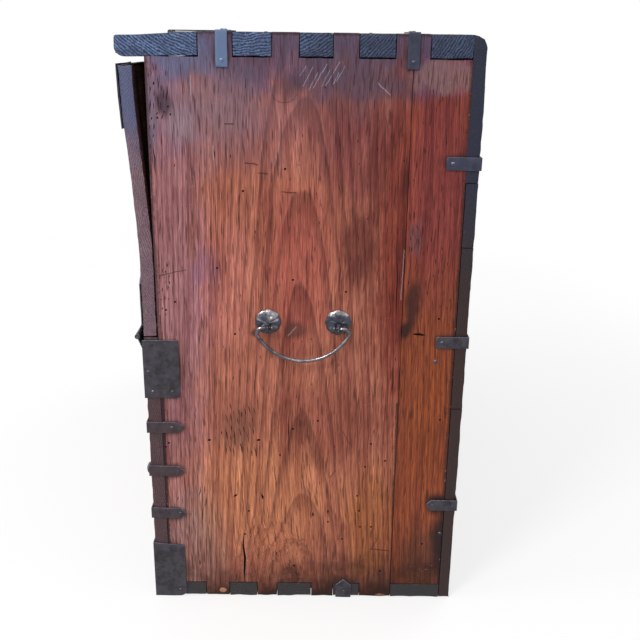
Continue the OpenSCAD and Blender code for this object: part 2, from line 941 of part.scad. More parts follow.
module hasp() {
    half_k = hasp_knuckle_w / 2;
    slot_w = staple_d + 2 * slot_side_clear;
    slot_len = staple_spread + staple_d + 2 * slot_end_clear;
    tip = tongue(hasp_len - hasp_neck - hasp_splay, hasp_w, hasp_point);
    color(worn_iron)
        difference() {
            union() {
                translate([0, hasp_y, hasp_z]) rotate([0, 90, 0])
                    cylinder(r = knuckle_r, h = hasp_knuckle_w, center = true);
                translate([0, hasp_y, hasp_z + knuckle_r - hasp_t]) linear_extrude(hasp_t)
                    difference() {
                        polygon(concat(
                            [[-half_k, 0], [half_k, 0], [half_k, hasp_neck]],
                            [for (p = tip) [-p[1], p[0] + hasp_neck + hasp_splay]],
                            [[-half_k, hasp_neck]]
                        ));
                        translate([0, slot_at]) square([slot_w, slot_len], center = true);
                    }
            }
            hasp_bore();
        }
}

module hasp_mount() {
    inner = hasp_knuckle_w / 2 + knuckle_gap / 2;
    outer = inner + mount_knuckle_w;
    top = case_h - top_edge_r;
    color(iron)
        difference() {
            union() {
                block([-mount_w / 2, top_front_y - iron_t, top - mount_h], [mount_w / 2, top_front_y, top]);
                for (side = [0, 1])
                    mirror([side, 0, 0]) {
                        translate([inner, hasp_y, hasp_z]) rotate([0, 90, 0])
                            cylinder(r = knuckle_r, h = mount_knuckle_w);
                        block([inner, hasp_y + bore_r, top - lug_lap],
                            [outer, top_front_y, hasp_z + lug_lap]);
                    }
            }
            hasp_bore();
        }
}

module hasp_pin() {
    color(worn_iron) translate([0, hasp_y, hasp_z]) rotate([0, 90, 0])
        cylinder(r = pin_r, h = hasp_knuckle_w + knuckle_gap + 2 * mount_knuckle_w, center = true);
}

// Nails

module nail() {
    dome(nail_d, nail_h);
}

// Nails on the right side's iron, as distances behind the panel's front edge and heights
module nails_on_side(places) {
    for (p = places)
        translate([half_w + iron_t, side_front_y + p[0], p[1]]) facing_right() nail();
}

// Nails on iron that lies on a plane at a given Y, as X and Z
module nails_in_front(y, places) {
    for (p = places) translate([p[0], y - iron_t, p[1]]) facing_front() nail();
}

module nails_behind(places) {
    for (p = places) translate([p[0], back_y + iron_t, p[1]]) facing_back() nail();
}

module nails_on_top(places) {
    for (p = places) translate([p[0], side_front_y + p[1], case_h + iron_t]) nail();
}

// Nails of the right half, side panel and its wood
module right_side_nails() {
    for (z = [front_strap_low_h, front_strap_mid_h])
        nails_on_side([[front_strap_reach - strap_point, z]]);
    nails_on_side([[front_strap_reach - strap_w, front_strap_high_h]]);
    for (z = back_strap_places)
        nails_on_side([[side_d - back_strap_reach + edge_inset, z]]);
    for (y = top_strap_places)
        nails_on_side([[y, case_h - top_strap_drop + foot_inset]]);
    nails_on_side([
        [-front_t / 2, wrap_foot_h + foot_inset],
        [wrap_reach - corner_inset, wrap_foot_h + foot_inset],
        [nail_d - front_t, wrap_foot_h + leaf_nail_rise],
        [corner_plate_reach - foot_inset, corner_inset],
        [bottom_strap_at, corner_inset]
    ]);
    for (p = wood_nails)
        translate([half_w, side_back_y - p[0], p[1]]) facing_right() nail();
}

// Nails of the right half, on the front, back and top faces
module right_leg_nails() {
    for (z = [front_strap_low_h, front_strap_mid_h, front_strap_high_h])
        nails_in_front(front_y, [[strap_end_x + leg_inset, z], [half_w - bend_inset, z]]);
    nails_in_front(front_y, [
        [half_w - corner_inset, corner_inset],
        [half_w - corner_inset, corner_plate_h - corner_inset],
        [half_w - corner_plate_leg + corner_inset, corner_inset],
        [half_w - corner_plate_leg / 2, corner_plate_h / 2]
    ]);
    for (z = [wrap_foot_h + foot_inset, wrap_foot_h + leaf_nail_rise])
        nails_in_front(front_y, [[end_hinge_x - leaf_nail_x, z], [end_hinge_x + leaf_nail_x, z]]);
    for (z = back_strap_places)
        nails_behind([[strap_end_x + edge_inset, z], [half_w - leg_inset, z]]);
    for (y = top_strap_places)
        nails_on_top([[strap_end_x + edge_inset, y], [half_w - leg_inset, y]]);
    translate([half_w - boss_d / 2 - boss_margin, front_y - iron_t, front_strap_mid_h]) facing_front()
        dome(boss_d, boss_h);
}

// Nails of a middle leaf; up is 1 or -1
module middle_leaf_nails(face_y, up) {
    nails_in_front(face_y, [
        [-leaf_nail_x, hinge_z + up * (leaf_bend + corner_inset)],
        [leaf_nail_x, hinge_z + up * (leaf_bend + corner_inset)],
        [0, hinge_z + up * (leaf_len - corner_inset)]
    ]);
}

module case_nails() {
    mount_nail_z = case_h - top_edge_r - mount_h / 2;
    color(worn_iron) {
        for (side = [0, 1])
            mirror([side, 0, 0]) {
                right_side_nails();
                right_leg_nails();
                nails_in_front(top_front_y, [[mount_w / 2 - edge_inset, mount_nail_z]]);
            }
        middle_leaf_nails(front_y, -1);
    }
}

// Nails of the right end hinge's upper leaf and of the right half of the lock plate
module right_door_nails() {
    for (side = [-1, 1])
        nails_in_front(door_face_y, [
            [end_hinge_x + side * leaf_nail_x, hinge_z + leaf_bend + corner_inset],
            [end_hinge_x + side * leg_inset, hinge_z + leaf_len - edge_inset]
        ]);
    nails_in_front(door_face_y, [[lock_plate_w / 2 - edge_inset, lock_plate_z]]);
}

module door_nails() {
    lock_nail_rise = lock_plate_h / 2 - edge_inset;
    color(worn_iron) {
        middle_leaf_nails(door_face_y, 1);
        for (side = [0, 1]) mirror([side, 0, 0]) right_door_nails();
        for (rise = [-lock_nail_rise, lock_nail_rise])
            nails_in_front(door_face_y, [[0, lock_plate_z + rise]]);
        for (p = door_corner_nails) {
            x = half_w - p[0];
            z = door_head_z - p[1];
            nails_in_front(door_face_y, [[-x, z]]);
            nails_in_front(door_face_y - 2 * bed_gap - warp_at(x, z), [[x, z]]);
        }
    }
}

top_board();
bottom_board();
right_side_front_plank();
right_side_back_plank();
left_side_front_plank();
left_side_back_plank();
lower_front_board();
back_plank_1();
back_plank_2();
back_plank_3();
back_plank_4();
right_hinge_lower_leaf();
right_hinge_pin();
left_hinge_lower_leaf();
left_hinge_pin();
middle_hinge_lower_leaf();
middle_hinge_pin();
right_strap_low();
right_strap_mid();
right_strap_high();
right_corner_plate();
left_strap_low();
left_strap_mid();
left_strap_high();
left_corner_plate();
right_back_strap_low();
right_back_strap_mid();
right_back_strap_high();
left_back_strap_low();
left_back_strap_mid();
left_back_strap_high();
right_top_straps();
left_top_straps();
bottom_straps();
right_rosettes();
right_eyes();
left_rosettes();
left_eyes();
hasp_mount();
hasp_pin();
case_nails();
door_panel();
right_hinge_upper_leaf();
left_hinge_upper_leaf();
middle_hinge_upper_leaf();
door_corner_right();
door_corner_left();
lock_plate();
lock_staple();
pull_rosettes();
pull_eyes();
door_nails();
hasp();
right_bail();
left_bail();
right_pull();
left_pull();
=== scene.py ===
import json
import math
import bmesh
import bpy
import numpy as np
from mathutils import Matrix, Vector
from mathutils.bvhtree import BVHTree


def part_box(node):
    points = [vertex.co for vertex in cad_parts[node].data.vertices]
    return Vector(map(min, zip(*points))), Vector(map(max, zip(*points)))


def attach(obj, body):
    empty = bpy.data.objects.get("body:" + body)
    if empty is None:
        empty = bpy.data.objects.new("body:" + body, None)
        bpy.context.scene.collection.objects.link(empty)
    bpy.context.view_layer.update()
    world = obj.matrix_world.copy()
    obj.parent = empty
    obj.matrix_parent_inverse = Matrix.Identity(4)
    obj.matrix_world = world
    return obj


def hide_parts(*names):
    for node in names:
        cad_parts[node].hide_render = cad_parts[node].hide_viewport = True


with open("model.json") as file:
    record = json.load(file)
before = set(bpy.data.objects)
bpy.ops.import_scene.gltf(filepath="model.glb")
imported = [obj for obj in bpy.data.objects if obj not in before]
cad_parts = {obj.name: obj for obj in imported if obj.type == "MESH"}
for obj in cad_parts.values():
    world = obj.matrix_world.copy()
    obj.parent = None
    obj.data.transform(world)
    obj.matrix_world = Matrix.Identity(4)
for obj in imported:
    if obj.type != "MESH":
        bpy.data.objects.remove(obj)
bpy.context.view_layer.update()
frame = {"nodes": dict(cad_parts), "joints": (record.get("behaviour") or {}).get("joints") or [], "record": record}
nodes = frame["nodes"]
mm = 0.001
print("frame loaded:", len(nodes), "nodes")


def addObject(name, data):
    piece = bpy.data.objects.new(name, data)
    bpy.context.scene.collection.objects.link(piece)
    return piece


# Camera, at the photograph's viewing angle: its frame is square and its sizes are in that frame's pixels

photoView = {"eye": (1.4699, 0.0127, 0.757), "focal": 849.1, "frame": 640, "sensor": 36.0,
             "pitch": -18.56, "yaw": -0.31, "roll": 0.77}


def cameraTurn(view):
    aim = Matrix.Rotation(math.radians(90 + view["yaw"]), 3, "Z")
    tilt = Matrix.Rotation(math.radians(90 + view["pitch"]), 3, "X")
    return aim @ tilt @ Matrix.Rotation(math.radians(view["roll"]), 3, "Z")


def makeCamera(view):
    data = bpy.data.cameras.new("photoCamera")
    data.sensor_width = view["sensor"]
    data.lens = view["focal"] * view["sensor"] / view["frame"]
    camera = addObject("photoCamera", data)
    camera.matrix_world = Matrix.Translation(view["eye"]) @ cameraTurn(view).to_4x4()
    bpy.context.scene.camera = camera


def photoPoint(column, row):
    # the place on the chest's right side that a pixel of the photograph shows
    middle = photoView["frame"] / 2
    ray = Vector(((column - middle) / photoView["focal"], (middle - row) / photoView["focal"], -1))
    ray = cameraTurn(photoView) @ ray
    eye = Vector(photoView["eye"])
    return eye + ray * ((caseHigh[0] - eye.x) / ray.x)


caseLow, caseHigh = np.array((-0.45, -0.2075, 0.0)), np.array((0.45, 0.2075, 0.76))
makeCamera(photoView)
bpy.context.scene.view_settings.view_transform = "Standard"


# Node helpers. A wire is a value inside a node tree, and sums of wires add their own nodes.

class Wire:
    def __init__(self, socket):
        self.socket, self.tree = socket, socket.id_data
        self.isVector = socket.type == "VECTOR"

    def __add__(self, other):
        return calc("ADD", self, other)

    def __sub__(self, other):
        return calc("SUBTRACT", self, other)

    def __rsub__(self, other):
        return calc("SUBTRACT", other, self)

    def __mul__(self, other):
        return calc("MULTIPLY", self, other)

    def __truediv__(self, other):
        return calc("DIVIDE", self, other)

    def __rtruediv__(self, other):
        return calc("DIVIDE", other, self)


def setInputs(node, values):
    for key, value in values.items():
        socket = node.inputs[key]
        if isinstance(value, Wire):
            socket.id_data.links.new(value.socket, socket)
        elif socket.type == "RGBA":
            socket.default_value = (*value[:3], 1.0)
        else:
            socket.default_value = value


def addNode(tree, kind, inputs=None, **settings):
    node = tree.nodes.new(kind)
    for key, value in settings.items():
        setattr(node, key, value)
    setInputs(node, inputs or {})
    return node


def treeOf(values):
    return next(value.tree for value in values if isinstance(value, Wire))


def wire(kind, inputs, output=0, tree=None, **settings):
    # one output of a new node, in the tree that its inputs come from
    return Wire(addNode(tree or treeOf(inputs.values()), kind, inputs, **settings).outputs[output])


def calc(how, *values, clamp=False):
    if any(isinstance(value, tuple) or getattr(value, "isVector", False) for value in values):
        output = "Value" if how in ("LENGTH", "DOT_PRODUCT") else "Vector"
        return wire("ShaderNodeVectorMath", dict(enumerate(values)), output, operation=how)
    return wire("ShaderNodeMath", dict(enumerate(values)), operation=how, use_clamp=clamp)


def scaled(vector, factor):
    return wire("ShaderNodeVectorMath", {0: vector, "Scale": factor}, operation="SCALE")


def separate(vector):
    return [Wire(socket) for socket in addNode(vector.tree, "ShaderNodeSeparateXYZ", {0: vector}).outputs]


def combine(*parts):
    return wire("ShaderNodeCombineXYZ", dict(enumerate(parts)))


def ramp(value, low, high):
    ends = {"Value": value, "From Min": low, "From Max": high}
    return wire("ShaderNodeMapRange", ends, interpolation_type="SMOOTHSTEP")


def noiseOf(vector, scale, detail, roughness=0.5, distortion=0.0, output=0):
    sizes = {"Scale": scale, "Detail": detail, "Roughness": roughness, "Distortion": distortion}
    return wire("ShaderNodeTexNoise", {"Vector": vector, **sizes}, output)


def blend(factor, first, second, how="MIX"):
    return wire("ShaderNodeMix", {0: factor, 6: first, 7: second}, 2, data_type="RGBA", blend_type=how)


def attribute(tree, name):
    return wire("ShaderNodeAttribute", {}, "Fac", tree, attribute_name=name)


def socketKind(default):
    if isinstance(default, str):
        return "NodeSocket" + default
    if isinstance(default, tuple):
        return "NodeSocketColor" if len(default) == 4 else "NodeSocketVector"
    return "NodeSocketInt" if isinstance(default, int) else "NodeSocketFloat"


def newGroup(name, inputs, kind="ShaderNodeTree"):
    # each input has its default, or the name of its kind where it can't have one
    tree = bpy.data.node_groups.new(name, kind)
    for label, default in inputs.items():
        socket = tree.interface.new_socket(label, in_out="INPUT", socket_type=socketKind(default))
        if not isinstance(default, str):
            socket.default_value = default
    given = tree.nodes.new("NodeGroupInput").outputs
    return tree, {socket.name: Wire(socket) for socket in given if socket.name}


def closeGroup(tree, outputs):
    kinds = {"VALUE": "Float", "VECTOR": "Vector", "RGBA": "Color", "GEOMETRY": "Geometry"}
    for label, value in outputs.items():
        kind = "NodeSocket" + kinds[value.socket.type]
        tree.interface.new_socket(label, in_out="OUTPUT", socket_type=kind)
    addNode(tree, "NodeGroupOutput", outputs)
    return tree


def useGroup(group, **inputs):
    node = addNode(treeOf(inputs.values()), "ShaderNodeGroup", inputs, node_tree=group)
    return {socket.name: Wire(socket) for socket in node.outputs}


# Shared effects. A wood vector holds depth into the board, place across the grain and place along it.

origin, white = (0.0, 0.0, 0.0), (1.0, 1.0, 1.0, 1.0)


def buildGrowthRings():
    tree, given = newGroup("growthRings", {"Wood": origin, "Heart": origin, "Spacing": 0.007, "Taper": 0.03,
                                           "Wander": 1.0, "Bend": 0.0})
    x, y, z = separate(given["Wood"] - given["Heart"])
    deep = z * given["Taper"] + x
    slow = noiseOf(given["Wood"] * (7, 7, 2.2), 1, 2)
    quick = noiseOf(given["Wood"] * (40, 40, 9), 1, 2)
    drift = (quick - 0.5) * 0.22 + (slow - 0.5)
    radius = calc("SQRT", deep * deep + y * y)
    phase = radius / given["Spacing"] + (drift * given["Wander"] + given["Bend"])
    within = calc("FRACT", phase)
    shift = (quick - 0.5) * 0.003 + ((slow - 0.5) * 0.03 + y)
    return closeGroup(tree, {
        "Rings": ramp(within, 0.5, 0.94) * ramp(within, 1.0, 0.95),
        "Tone": wire("ShaderNodeTexWhiteNoise", {"W": calc("FLOOR", phase)}, "Value", noise_dimensions="1D"),
        "Flow": combine(x, given["Bend"] * 0.006 + shift, z)})


def buildFibre():
    tree, given = newGroup("woodFibre", {"Flow": origin, "Streak": 0.004})
    across = 1.0 / given["Streak"]
    streaked = given["Flow"] * combine(across, across, across * 0.02)
    return closeGroup(tree, {
        "Streaks": ramp(noiseOf(streaked, 1, 3, 0.6, 0.15), 0.35, 0.65),
        "Fibres": ramp(noiseOf(streaked * (2.1, 2.1, 2.6), 1, 2, 0.6), 0.36, 0.64),
        "Pores": ramp(noiseOf(given["Flow"] * (520, 520, 40), 1, 1, 0.4), 0.6, 0.7),
        "Bands": ramp(noiseOf(given["Flow"] * (60, 60, 2.4), 1, 3, 0.6), 0.34, 0.66)})


def buildStainPatch(how):
    # a rounded patch of "Tint" laid on "Colour"; "Torn" is a noise around zero that frays its border
    tree, given = newGroup("stain" + how.title(), {
        "Vector": origin, "Centre": origin, "Size": (0.1, 0.1, 0.1), "Softness": 0.7, "Torn": 0.0,
        "Ragged": 0.6, "Amount": 1.0, "Colour": white, "Tint": white})
    away = calc("LENGTH", (given["Vector"] - given["Centre"]) / given["Size"])
    far = calc("MULTIPLY_ADD", given["Torn"], given["Ragged"], away)
    mask = ramp(far, 1.0, 1.0 - given["Softness"]) * given["Amount"]
    return closeGroup(tree, {"Mask": mask, "Colour": blend(mask, given["Colour"], given["Tint"], how)})


def buildScratch():
    # one thin line laid on "Colour"; "Vector" is the place already shaken, "Broken" a noise that thins it
    tree, given = newGroup("scratchLine", {
        "Vector": origin, "Broken": 0.5, "Start": origin, "Way": (0.0, 0.0, 1.0), "Length": 0.02,
        "Width": 0.001, "Amount": 0.6, "Colour": white, "Tint": white})
    place = given["Vector"] - given["Start"]
    held = calc("MINIMUM", calc("MAXIMUM", calc("DOT_PRODUCT", place, given["Way"]), 0.0), given["Length"])
    away = calc("LENGTH", (place - scaled(given["Way"], held)) * (0.3, 1, 1))
    reach = given["Width"] * calc("MULTIPLY_ADD", given["Broken"], 1.2, 0.3)
    mask = ramp(away / reach, 1.0, 0.4) * given["Amount"]
    return closeGroup(tree, {"Colour": blend(mask, given["Colour"], given["Tint"])})


def buildEndGrain():
    tree, given = newGroup("endGrain", {"Vector": origin, "Pitch": 0.0035, "Heart": origin})
    place = given["Vector"]
    away = calc("LENGTH", (place - given["Heart"]) * (0, 1, 1))
    phase = noiseOf(place, 60, 4, 0.65) * 3.0 + away / given["Pitch"]
    broken = noiseOf(place, 380, 4, 0.75) * 6.0 - 3.0
    return closeGroup(tree, {
        "Ribs": ramp(calc("SINE", phase * math.tau) + broken, -1.4, 1.5),
        "Pits": ramp(noiseOf(place, 620, 2, 0.6), 0.56, 0.68),
        "Cloud": ramp(noiseOf(place, 42, 4, 0.65), 0.35, 0.65)})


def buildScuffs():
    tree, given = newGroup("scuffs", {"Vector": origin, "Amount": 0.5})
    total = None
    for turn, stretch in ((origin, (90, 90, 900)), ((0.7, 0, 0), (110, 110, 1100)),
                          ((-0.5, 0, 0), (80, 80, 900))):
        spot = wire("ShaderNodeVectorRotate", {"Vector": given["Vector"], "Rotation": turn},
                    rotation_type="EULER_XYZ")
        here = ramp(noiseOf(spot * stretch, 1, 1, 0.4, 0.4), 0.735, 0.78)
        total = here if total is None else calc("MAXIMUM", total, here)
    some = calc("GREATER_THAN", noiseOf(given["Vector"], 16, 2), 0.75 - given["Amount"] * 0.35)
    return closeGroup(tree, {"Mask": total * some})


def buildWornEdges():
    tree, given = newGroup("wornEdges", {"Vector": origin, "Reach": 0.5, "Grain": 0.006})
    edge = attribute(tree, "edge")
    broken = noiseOf(given["Vector"], 1.0 / given["Grain"], 3, 0.65)
    low = 1.0 - given["Reach"]
    return closeGroup(tree, {
        "Grime": ramp((broken - 0.5) * 0.7 + edge, low, low + 0.45),
        "Bare": ramp(edge * ramp(broken, 0.56, 0.68), 0.72, 0.95)})


def buildHammered():
    tree, given = newGroup("hammeredIron", {"Vector": origin, "Dent": 0.006})
    place = given["Vector"]
    dents = wire("ShaderNodeTexVoronoi", {"Vector": place, "Scale": 1.0 / given["Dent"], "Smoothness": 0.8},
                 "Distance", feature="SMOOTH_F1")
    return closeGroup(tree, {
        "Height": noiseOf(place, 1400, 3, 0.6) * 0.25 + dents,
        "Mottle": ramp(noiseOf(place, 90, 5, 0.7), 0.3, 0.7),
        "Rust": ramp(noiseOf(place, 75, 5, 0.7, 0.4), 0.54, 0.68),
        "Rub": ramp(noiseOf(place, 300, 4, 0.7), 0.5, 0.66)})


growthRings, woodFibre, scuffs, scratchLine = buildGrowthRings(), buildFibre(), buildScuffs(), buildScratch()
stainMix, stainMultiply = buildStainPatch("MIX"), buildStainPatch("MULTIPLY")
endGrain, wornEdges, hammeredIron = buildEndGrain(), buildWornEdges(), buildHammered()
print("shared effects built")


# Wood finishes. All tints are given in the picture's own 0 to 255 steps.

colourKeys = {"light", "dark", "ring", "cloud", "pore", "scuffTint", "grime", "bare", "hole", "pit", "rim",
              "rust", "rub"}


def shade(red, green, blue):
    steps = np.array([red, green, blue]) / 255
    curved = ((steps + 0.055) / 1.055) ** 2.4
    return tuple(float(v) for v in np.where(steps <= 0.04045, steps / 12.92, curved))


def newMaterial(name, look):
    material = bpy.data.materials.new(name)
    material.use_nodes = True
    tree = material.node_tree
    tree.nodes.clear()
    shader = addNode(tree, "ShaderNodeBsdfPrincipled")
    addNode(tree, "ShaderNodeOutputMaterial", {"Surface": Wire(shader.outputs[0])})
    place = wire("ShaderNodeTexCoord", {}, "Object", tree)
    look = {key: shade(*value) if key in colourKeys else value for key, value in look.items()}
    return material, shader, place, look


def bump(height, strength, distance):
    return wire("ShaderNodeBump", {"Height": height, "Strength": strength, "Distance": distance})


def layStain(place, stain, frays, colour=None, usual=None):
    # "frays" keeps one noise for each cell size, shared by all the stains of a material
    cell = stain["cell"]
    if cell not in frays:
        frays[cell] = noiseOf(place * cell, 1, 4, 0.6) - 0.5
    covers = stain["covers"] or usual is None
    tint = stain["tint"] if covers else tuple(float(v) for v in np.array(stain["tint"]) / usual)
    given = {"Vector": place, "Centre": stain["at"], "Size": stain["size"], "Softness": stain["soft"],
             "Torn": frays[cell], "Ragged": stain["ragged"], "Amount": stain["amount"], "Tint": tint}
    if colour is None:
        return useGroup(stainMix, **given)["Mask"]
    return useGroup(stainMix if covers else stainMultiply, Colour=colour, **given)["Colour"]


def patch(at, size, tint, amount, ragged=0.6, covers=True, soft=0.55, cell=(60, 60, 40)):
    return {"at": tuple(at), "size": size, "tint": shade(*tint), "amount": amount, "ragged": ragged,
            "covers": covers, "soft": soft, "cell": cell}


def woodMaterial(name, look):
    material, shader, place, look = newMaterial(name, look)
    part = separate(place)
    wood = combine(*[part[axis] for axis in look["order"]])
    bend, frays = 0.0, {}
    for knot in look.get("knots", ()):
        bend = layStain(place, knot, frays) + bend
    rings = useGroup(growthRings, Wood=wood, Heart=look["heart"], Spacing=look["spacing"],
                     Taper=look["taper"], Wander=look["wander"], Bend=bend)
    fibre = useGroup(woodFibre, Flow=rings["Flow"], Streak=look["streak"])
    tone = fibre["Bands"] * 0.32 + (rings["Tone"] * 0.12 + (fibre["Streaks"] * 0.44 + 0.07))
    colour = blend(tone, look["dark"], look["light"])
    colour = blend(rings["Rings"] * look["ringDepth"], colour, look["ring"])
    cloud = noiseOf(wood * (20, 20, 8), 1, 5, 0.68)
    colour = blend(ramp(cloud, 0.35, 0.75) * look["cloudDepth"], colour, look["cloud"])
    usual = (np.array(look["light"]) + look["dark"]) * 0.38
    for stain in look.get("stains", {}).values():
        colour = layStain(place, stain, frays, colour, usual)
    colour = blend((1.0 - fibre["Fibres"]) * look["fibreDepth"], colour, look["pore"])
    if look.get("lines"):
        shaken = noiseOf(place, 180.0, 2.0, output="Color") - (0.5, 0.5, 0.5)
        scratched, broken = place + shaken * (0.0, 0.0025, 0.0025), noiseOf(place, 700, 2, 0.6)
    for start, way, length, width, tint, amount in look.get("lines", ()):
        colour = useGroup(scratchLine, Vector=scratched, Broken=broken, Start=start, Way=way, Length=length,
                          Width=width, Amount=amount, Colour=colour, Tint=tint)["Colour"]
    marks = useGroup(scuffs, Vector=wood, Amount=look["scuffs"])["Mask"]
    edges = useGroup(wornEdges, Vector=place, Reach=look["edgeReach"])
    # the last layer, from the "cut" attribute and the hole tint, is painted shade in cracks and holes
    for mask, depth, tint in ((fibre["Pores"], look["poreDepth"], look["pore"]),
                              (marks, 0.35, look["scuffTint"]),
                              (edges["Grime"], look["grimeDepth"], look["grime"]),
                              (edges["Bare"], look["bareDepth"], look["bare"]),
                              (attribute(place.tree, "cut"), 0.93, look["hole"])):
        colour = blend(mask * depth, colour, tint)
    dull = ramp(cloud, 0.3, 0.7) * 0.12 + (fibre["Streaks"] * 0.12 + look["roughness"])
    height = rings["Rings"] * -0.35
    for raised, depth in ((fibre["Fibres"], 0.5), (fibre["Streaks"], 0.6), (fibre["Pores"], -0.8),
                          (marks, -0.5)):
        height = raised * depth + height
    setInputs(shader, {
        "Base Color": colour, "Roughness": calc("MULTIPLY_ADD", edges["Grime"], 0.15, dull, clamp=True),
        "Normal": bump(height, look["bump"], 0.0005), "Specular IOR Level": look["gloss"],
        "Coat Weight": look["coat"], "Coat Roughness": 0.3})
    return material


def endMaterial(name, look):
    material, shader, place, look = newMaterial(name, look)
    grain = useGroup(endGrain, Vector=place, Pitch=look["pitch"], Heart=look["heart"])
    colour = blend(grain["Ribs"], look["dark"], look["light"])
    colour = blend(grain["Cloud"] * look["cloudDepth"], colour, look["cloud"])
    colour = blend(grain["Pits"] * 0.6, colour, look["pit"])
    frays = {}
    for stain in look["stains"]:
        colour = layStain(place, stain, frays, colour, 1.0)
    edges = useGroup(wornEdges, Vector=place, Reach=0.5)
    # the rim tint on worn edges is bare wood with a painted highlight
    setInputs(shader, {
        "Base Color": blend(edges["Bare"] * look["rimDepth"], colour, look["rim"]),
        "Roughness": grain["Ribs"] * -0.15 + look["roughness"], "Specular IOR Level": 0.35,
        "Normal": bump(grain["Pits"] * -0.6 + grain["Ribs"], 0.7, 0.0006)})
    return material


def panelStain(column, row, wide, high, tint, amount, ragged=0.6, covers=False, soft=0.7, cell=(60, 60, 26)):
    # a patch on the right side, by its middle and half sizes in the photograph's pixels
    middle = photoPoint(column, row)
    side = photoPoint(column + wide, row)
    top = photoPoint(column, row - high)
    return patch(middle, (0.5, side.y - middle.y, top.z - middle.z), tint, amount, ragged, covers, soft, cell)


def panelLine(x0, y0, x1, y1, width, tint, amount):
    start, end = photoPoint(x0, y0), photoPoint(x1, y1)
    way = (end - start).normalized()
    return tuple(start), tuple(way), (end - start).length, width * mm, shade(*tint), amount


def weathering(low, high, seed, count, size, tints, spots=()):
    # patches strewn over a board that the photograph doesn't show, and grime round the places in "spots"
    rng = np.random.default_rng(seed)
    strewn = {}
    for index in range(count):
        at = np.array(low) + (np.array(high) - low) * rng.random(3)
        reach = np.array(size) * (0.6 + 0.8 * rng.random())
        tint = tints[index % len(tints)]
        strewn["cloud" + str(index)] = patch(at, tuple(reach), tint, 0.75, 1.1, False, 0.9, broad)
    for index, (spot, reach, tint) in enumerate(spots):
        strewn["spot" + str(index)] = patch(spot, reach, tint, 0.75, 0.9, True, 0.8)
    return strewn


broad = (20, 20, 24)
# dark halos round the iron fittings: grime with a painted shadow of each fitting
grimeAndShadowRows = {"grime" + str(i): (*spot, (64, 42, 42), 0.7, 0.7, True, 0.6) for i, spot in enumerate((
    (170, 428, 22, 10), (171, 471, 22, 10), (172, 514, 22, 10), (166, 371, 23, 38), (172, 568, 22, 32),
    (460, 162, 24, 11), (451, 342, 24, 11), (343, 588, 18, 18), (221, 54, 12, 20), (414, 56, 12, 20)))}
sideStains = {name: panelStain(*row) for name, row in {
    # a mauve tone of the wood with a painted sheen down the left
    "leftMauve": (170, 300, 56, 380, (160, 110, 114), 0.92),
    "orangeStreaks": (206, 432, 30, 100, (176, 106, 84), 0.8, 0.9),
    "orangeUpper": (222, 290, 42, 95, (190, 116, 102), 0.9, 0.9),
    "centreLight": (298, 270, 50, 120, (166, 86, 74), 0.8),
    "centreShade": (359, 252, 27, 62, (106, 52, 44), 0.85),
    "upperCentreDark": (360, 150, 62, 100, (122, 62, 60), 0.8),
    "darkColumn": (412, 185, 14, 40, (84, 40, 40), 0.8),
    "rightRed": (412, 285, 46, 160, (130, 60, 48), 0.6),
    "belowHandle": (330, 425, 80, 60, (146, 82, 66), 0.85),
    "lowMiddle": (264, 500, 112, 96, (192, 122, 88), 0.88),
    "lowRight": (372, 526, 42, 92, (166, 100, 62), 0.9),
    "rightSide": (400, 230, 32, 330, (136, 64, 50), 0.95, 0.6),
    "mauvePatch": (205, 268, 18, 32, (120, 76, 78), 0.5, 1.2),
    "upperMauve": (230, 112, 200, 84, (146, 93, 97), 0.7, 0.9, False, 0.8, broad),
    # along the top: a dark bluish stain, with lilacHaze and topSheen a painted sky sheen at the top left
    "topHaze": (290, 36, 280, 80, (112, 83, 99), 0.95, 1.3, False, 0.5, broad),
    "lilacHaze": (205, 104, 108, 84, (146, 122, 134), 0.76, 1.0, True, 1.0, broad),
    "palePatch": (180, 122, 22, 28, (172, 148, 158), 0.6, 1.0, True, 1.0, broad),
    "plumHaze": (350, 78, 110, 50, (108, 83, 96), 0.82, 1.0, True, 0.9, broad),
    "knotShade": (292, 86, 26, 22, (82, 62, 76), 0.75, 0.8, True, 0.9),
    "topHazeCover": (290, 30, 300, 62, (86, 80, 104), 0.7, 1.5, True, 0.8, broad),
    "topSheen": (176, 58, 60, 30, (116, 124, 160), 0.7, 1.6, True, 0.8, broad),
    "dryBeige": (446, 76, 40, 21, (146, 112, 114), 0.8, 1.5, True, 0.5, (30, 30, 30)),
    "foot": (300, 632, 340, 82, (44, 28, 20), 0.98, 0.7, True, 0.6, broad),
    "footRight": (355, 614, 125, 80, (46, 28, 20), 0.92, 0.9, True, 0.9, broad),
    "blackStain": (440, 544, 15, 44, (38, 32, 34), 0.93, 1.0, True, 0.7, broad),
    "strapStain": (438, 504, 18, 15, (36, 28, 26), 0.94, 0.9, True, 0.7, broad),
    "leftFoot": (192, 550, 50, 84, (158, 114, 104), 0.82),
    "adzeGrey": (241, 430, 24, 38, (118, 78, 66), 0.62, 1.6, True, 0.8),
    "seamNotch": (405, 331, 8, 12, (42, 26, 24), 0.9, 0.8, True),
    "repairDark": (413, 308, 10, 44, (54, 32, 32), 0.85, 1.3, True),
    # the pale patch on the repair is a painted glossy highlight
    "repairHighlight": (415, 238, 10, 26, (116, 84, 92), 0.5, 1.6, True),
    "leftEdgeBlue": (150, 112, 9, 66, (126, 118, 142), 0.6, 1.2, True),
    "knotDark": (164, 104, 11, 20, (66, 52, 66), 0.8, 1.2, True),
    "handleGrime": (296, 330, 16, 12, (92, 58, 56), 0.7, 1.2, True),
    **grimeAndShadowRows,
    "rightHandleGrime": (254, 333, 7, 6, (70, 44, 42), 0.8, 1.0, True),
    "chipLeft": (223, 590, 4, 2.5, (214, 158, 120), 0.9, 1.0, True, 0.4),
    "chipRight": (380, 596, 6, 2.5, (206, 150, 118), 0.9, 1.0, True, 0.4),
}.items()}
backStrips = ("topHaze", "plumHaze", "topHazeCover", "dryBeige", "blackStain", "strapStain", "foot",
              "footRight", "repairDark", "repairHighlight", "seamNotch", "grime5", "grime6", "grime9")
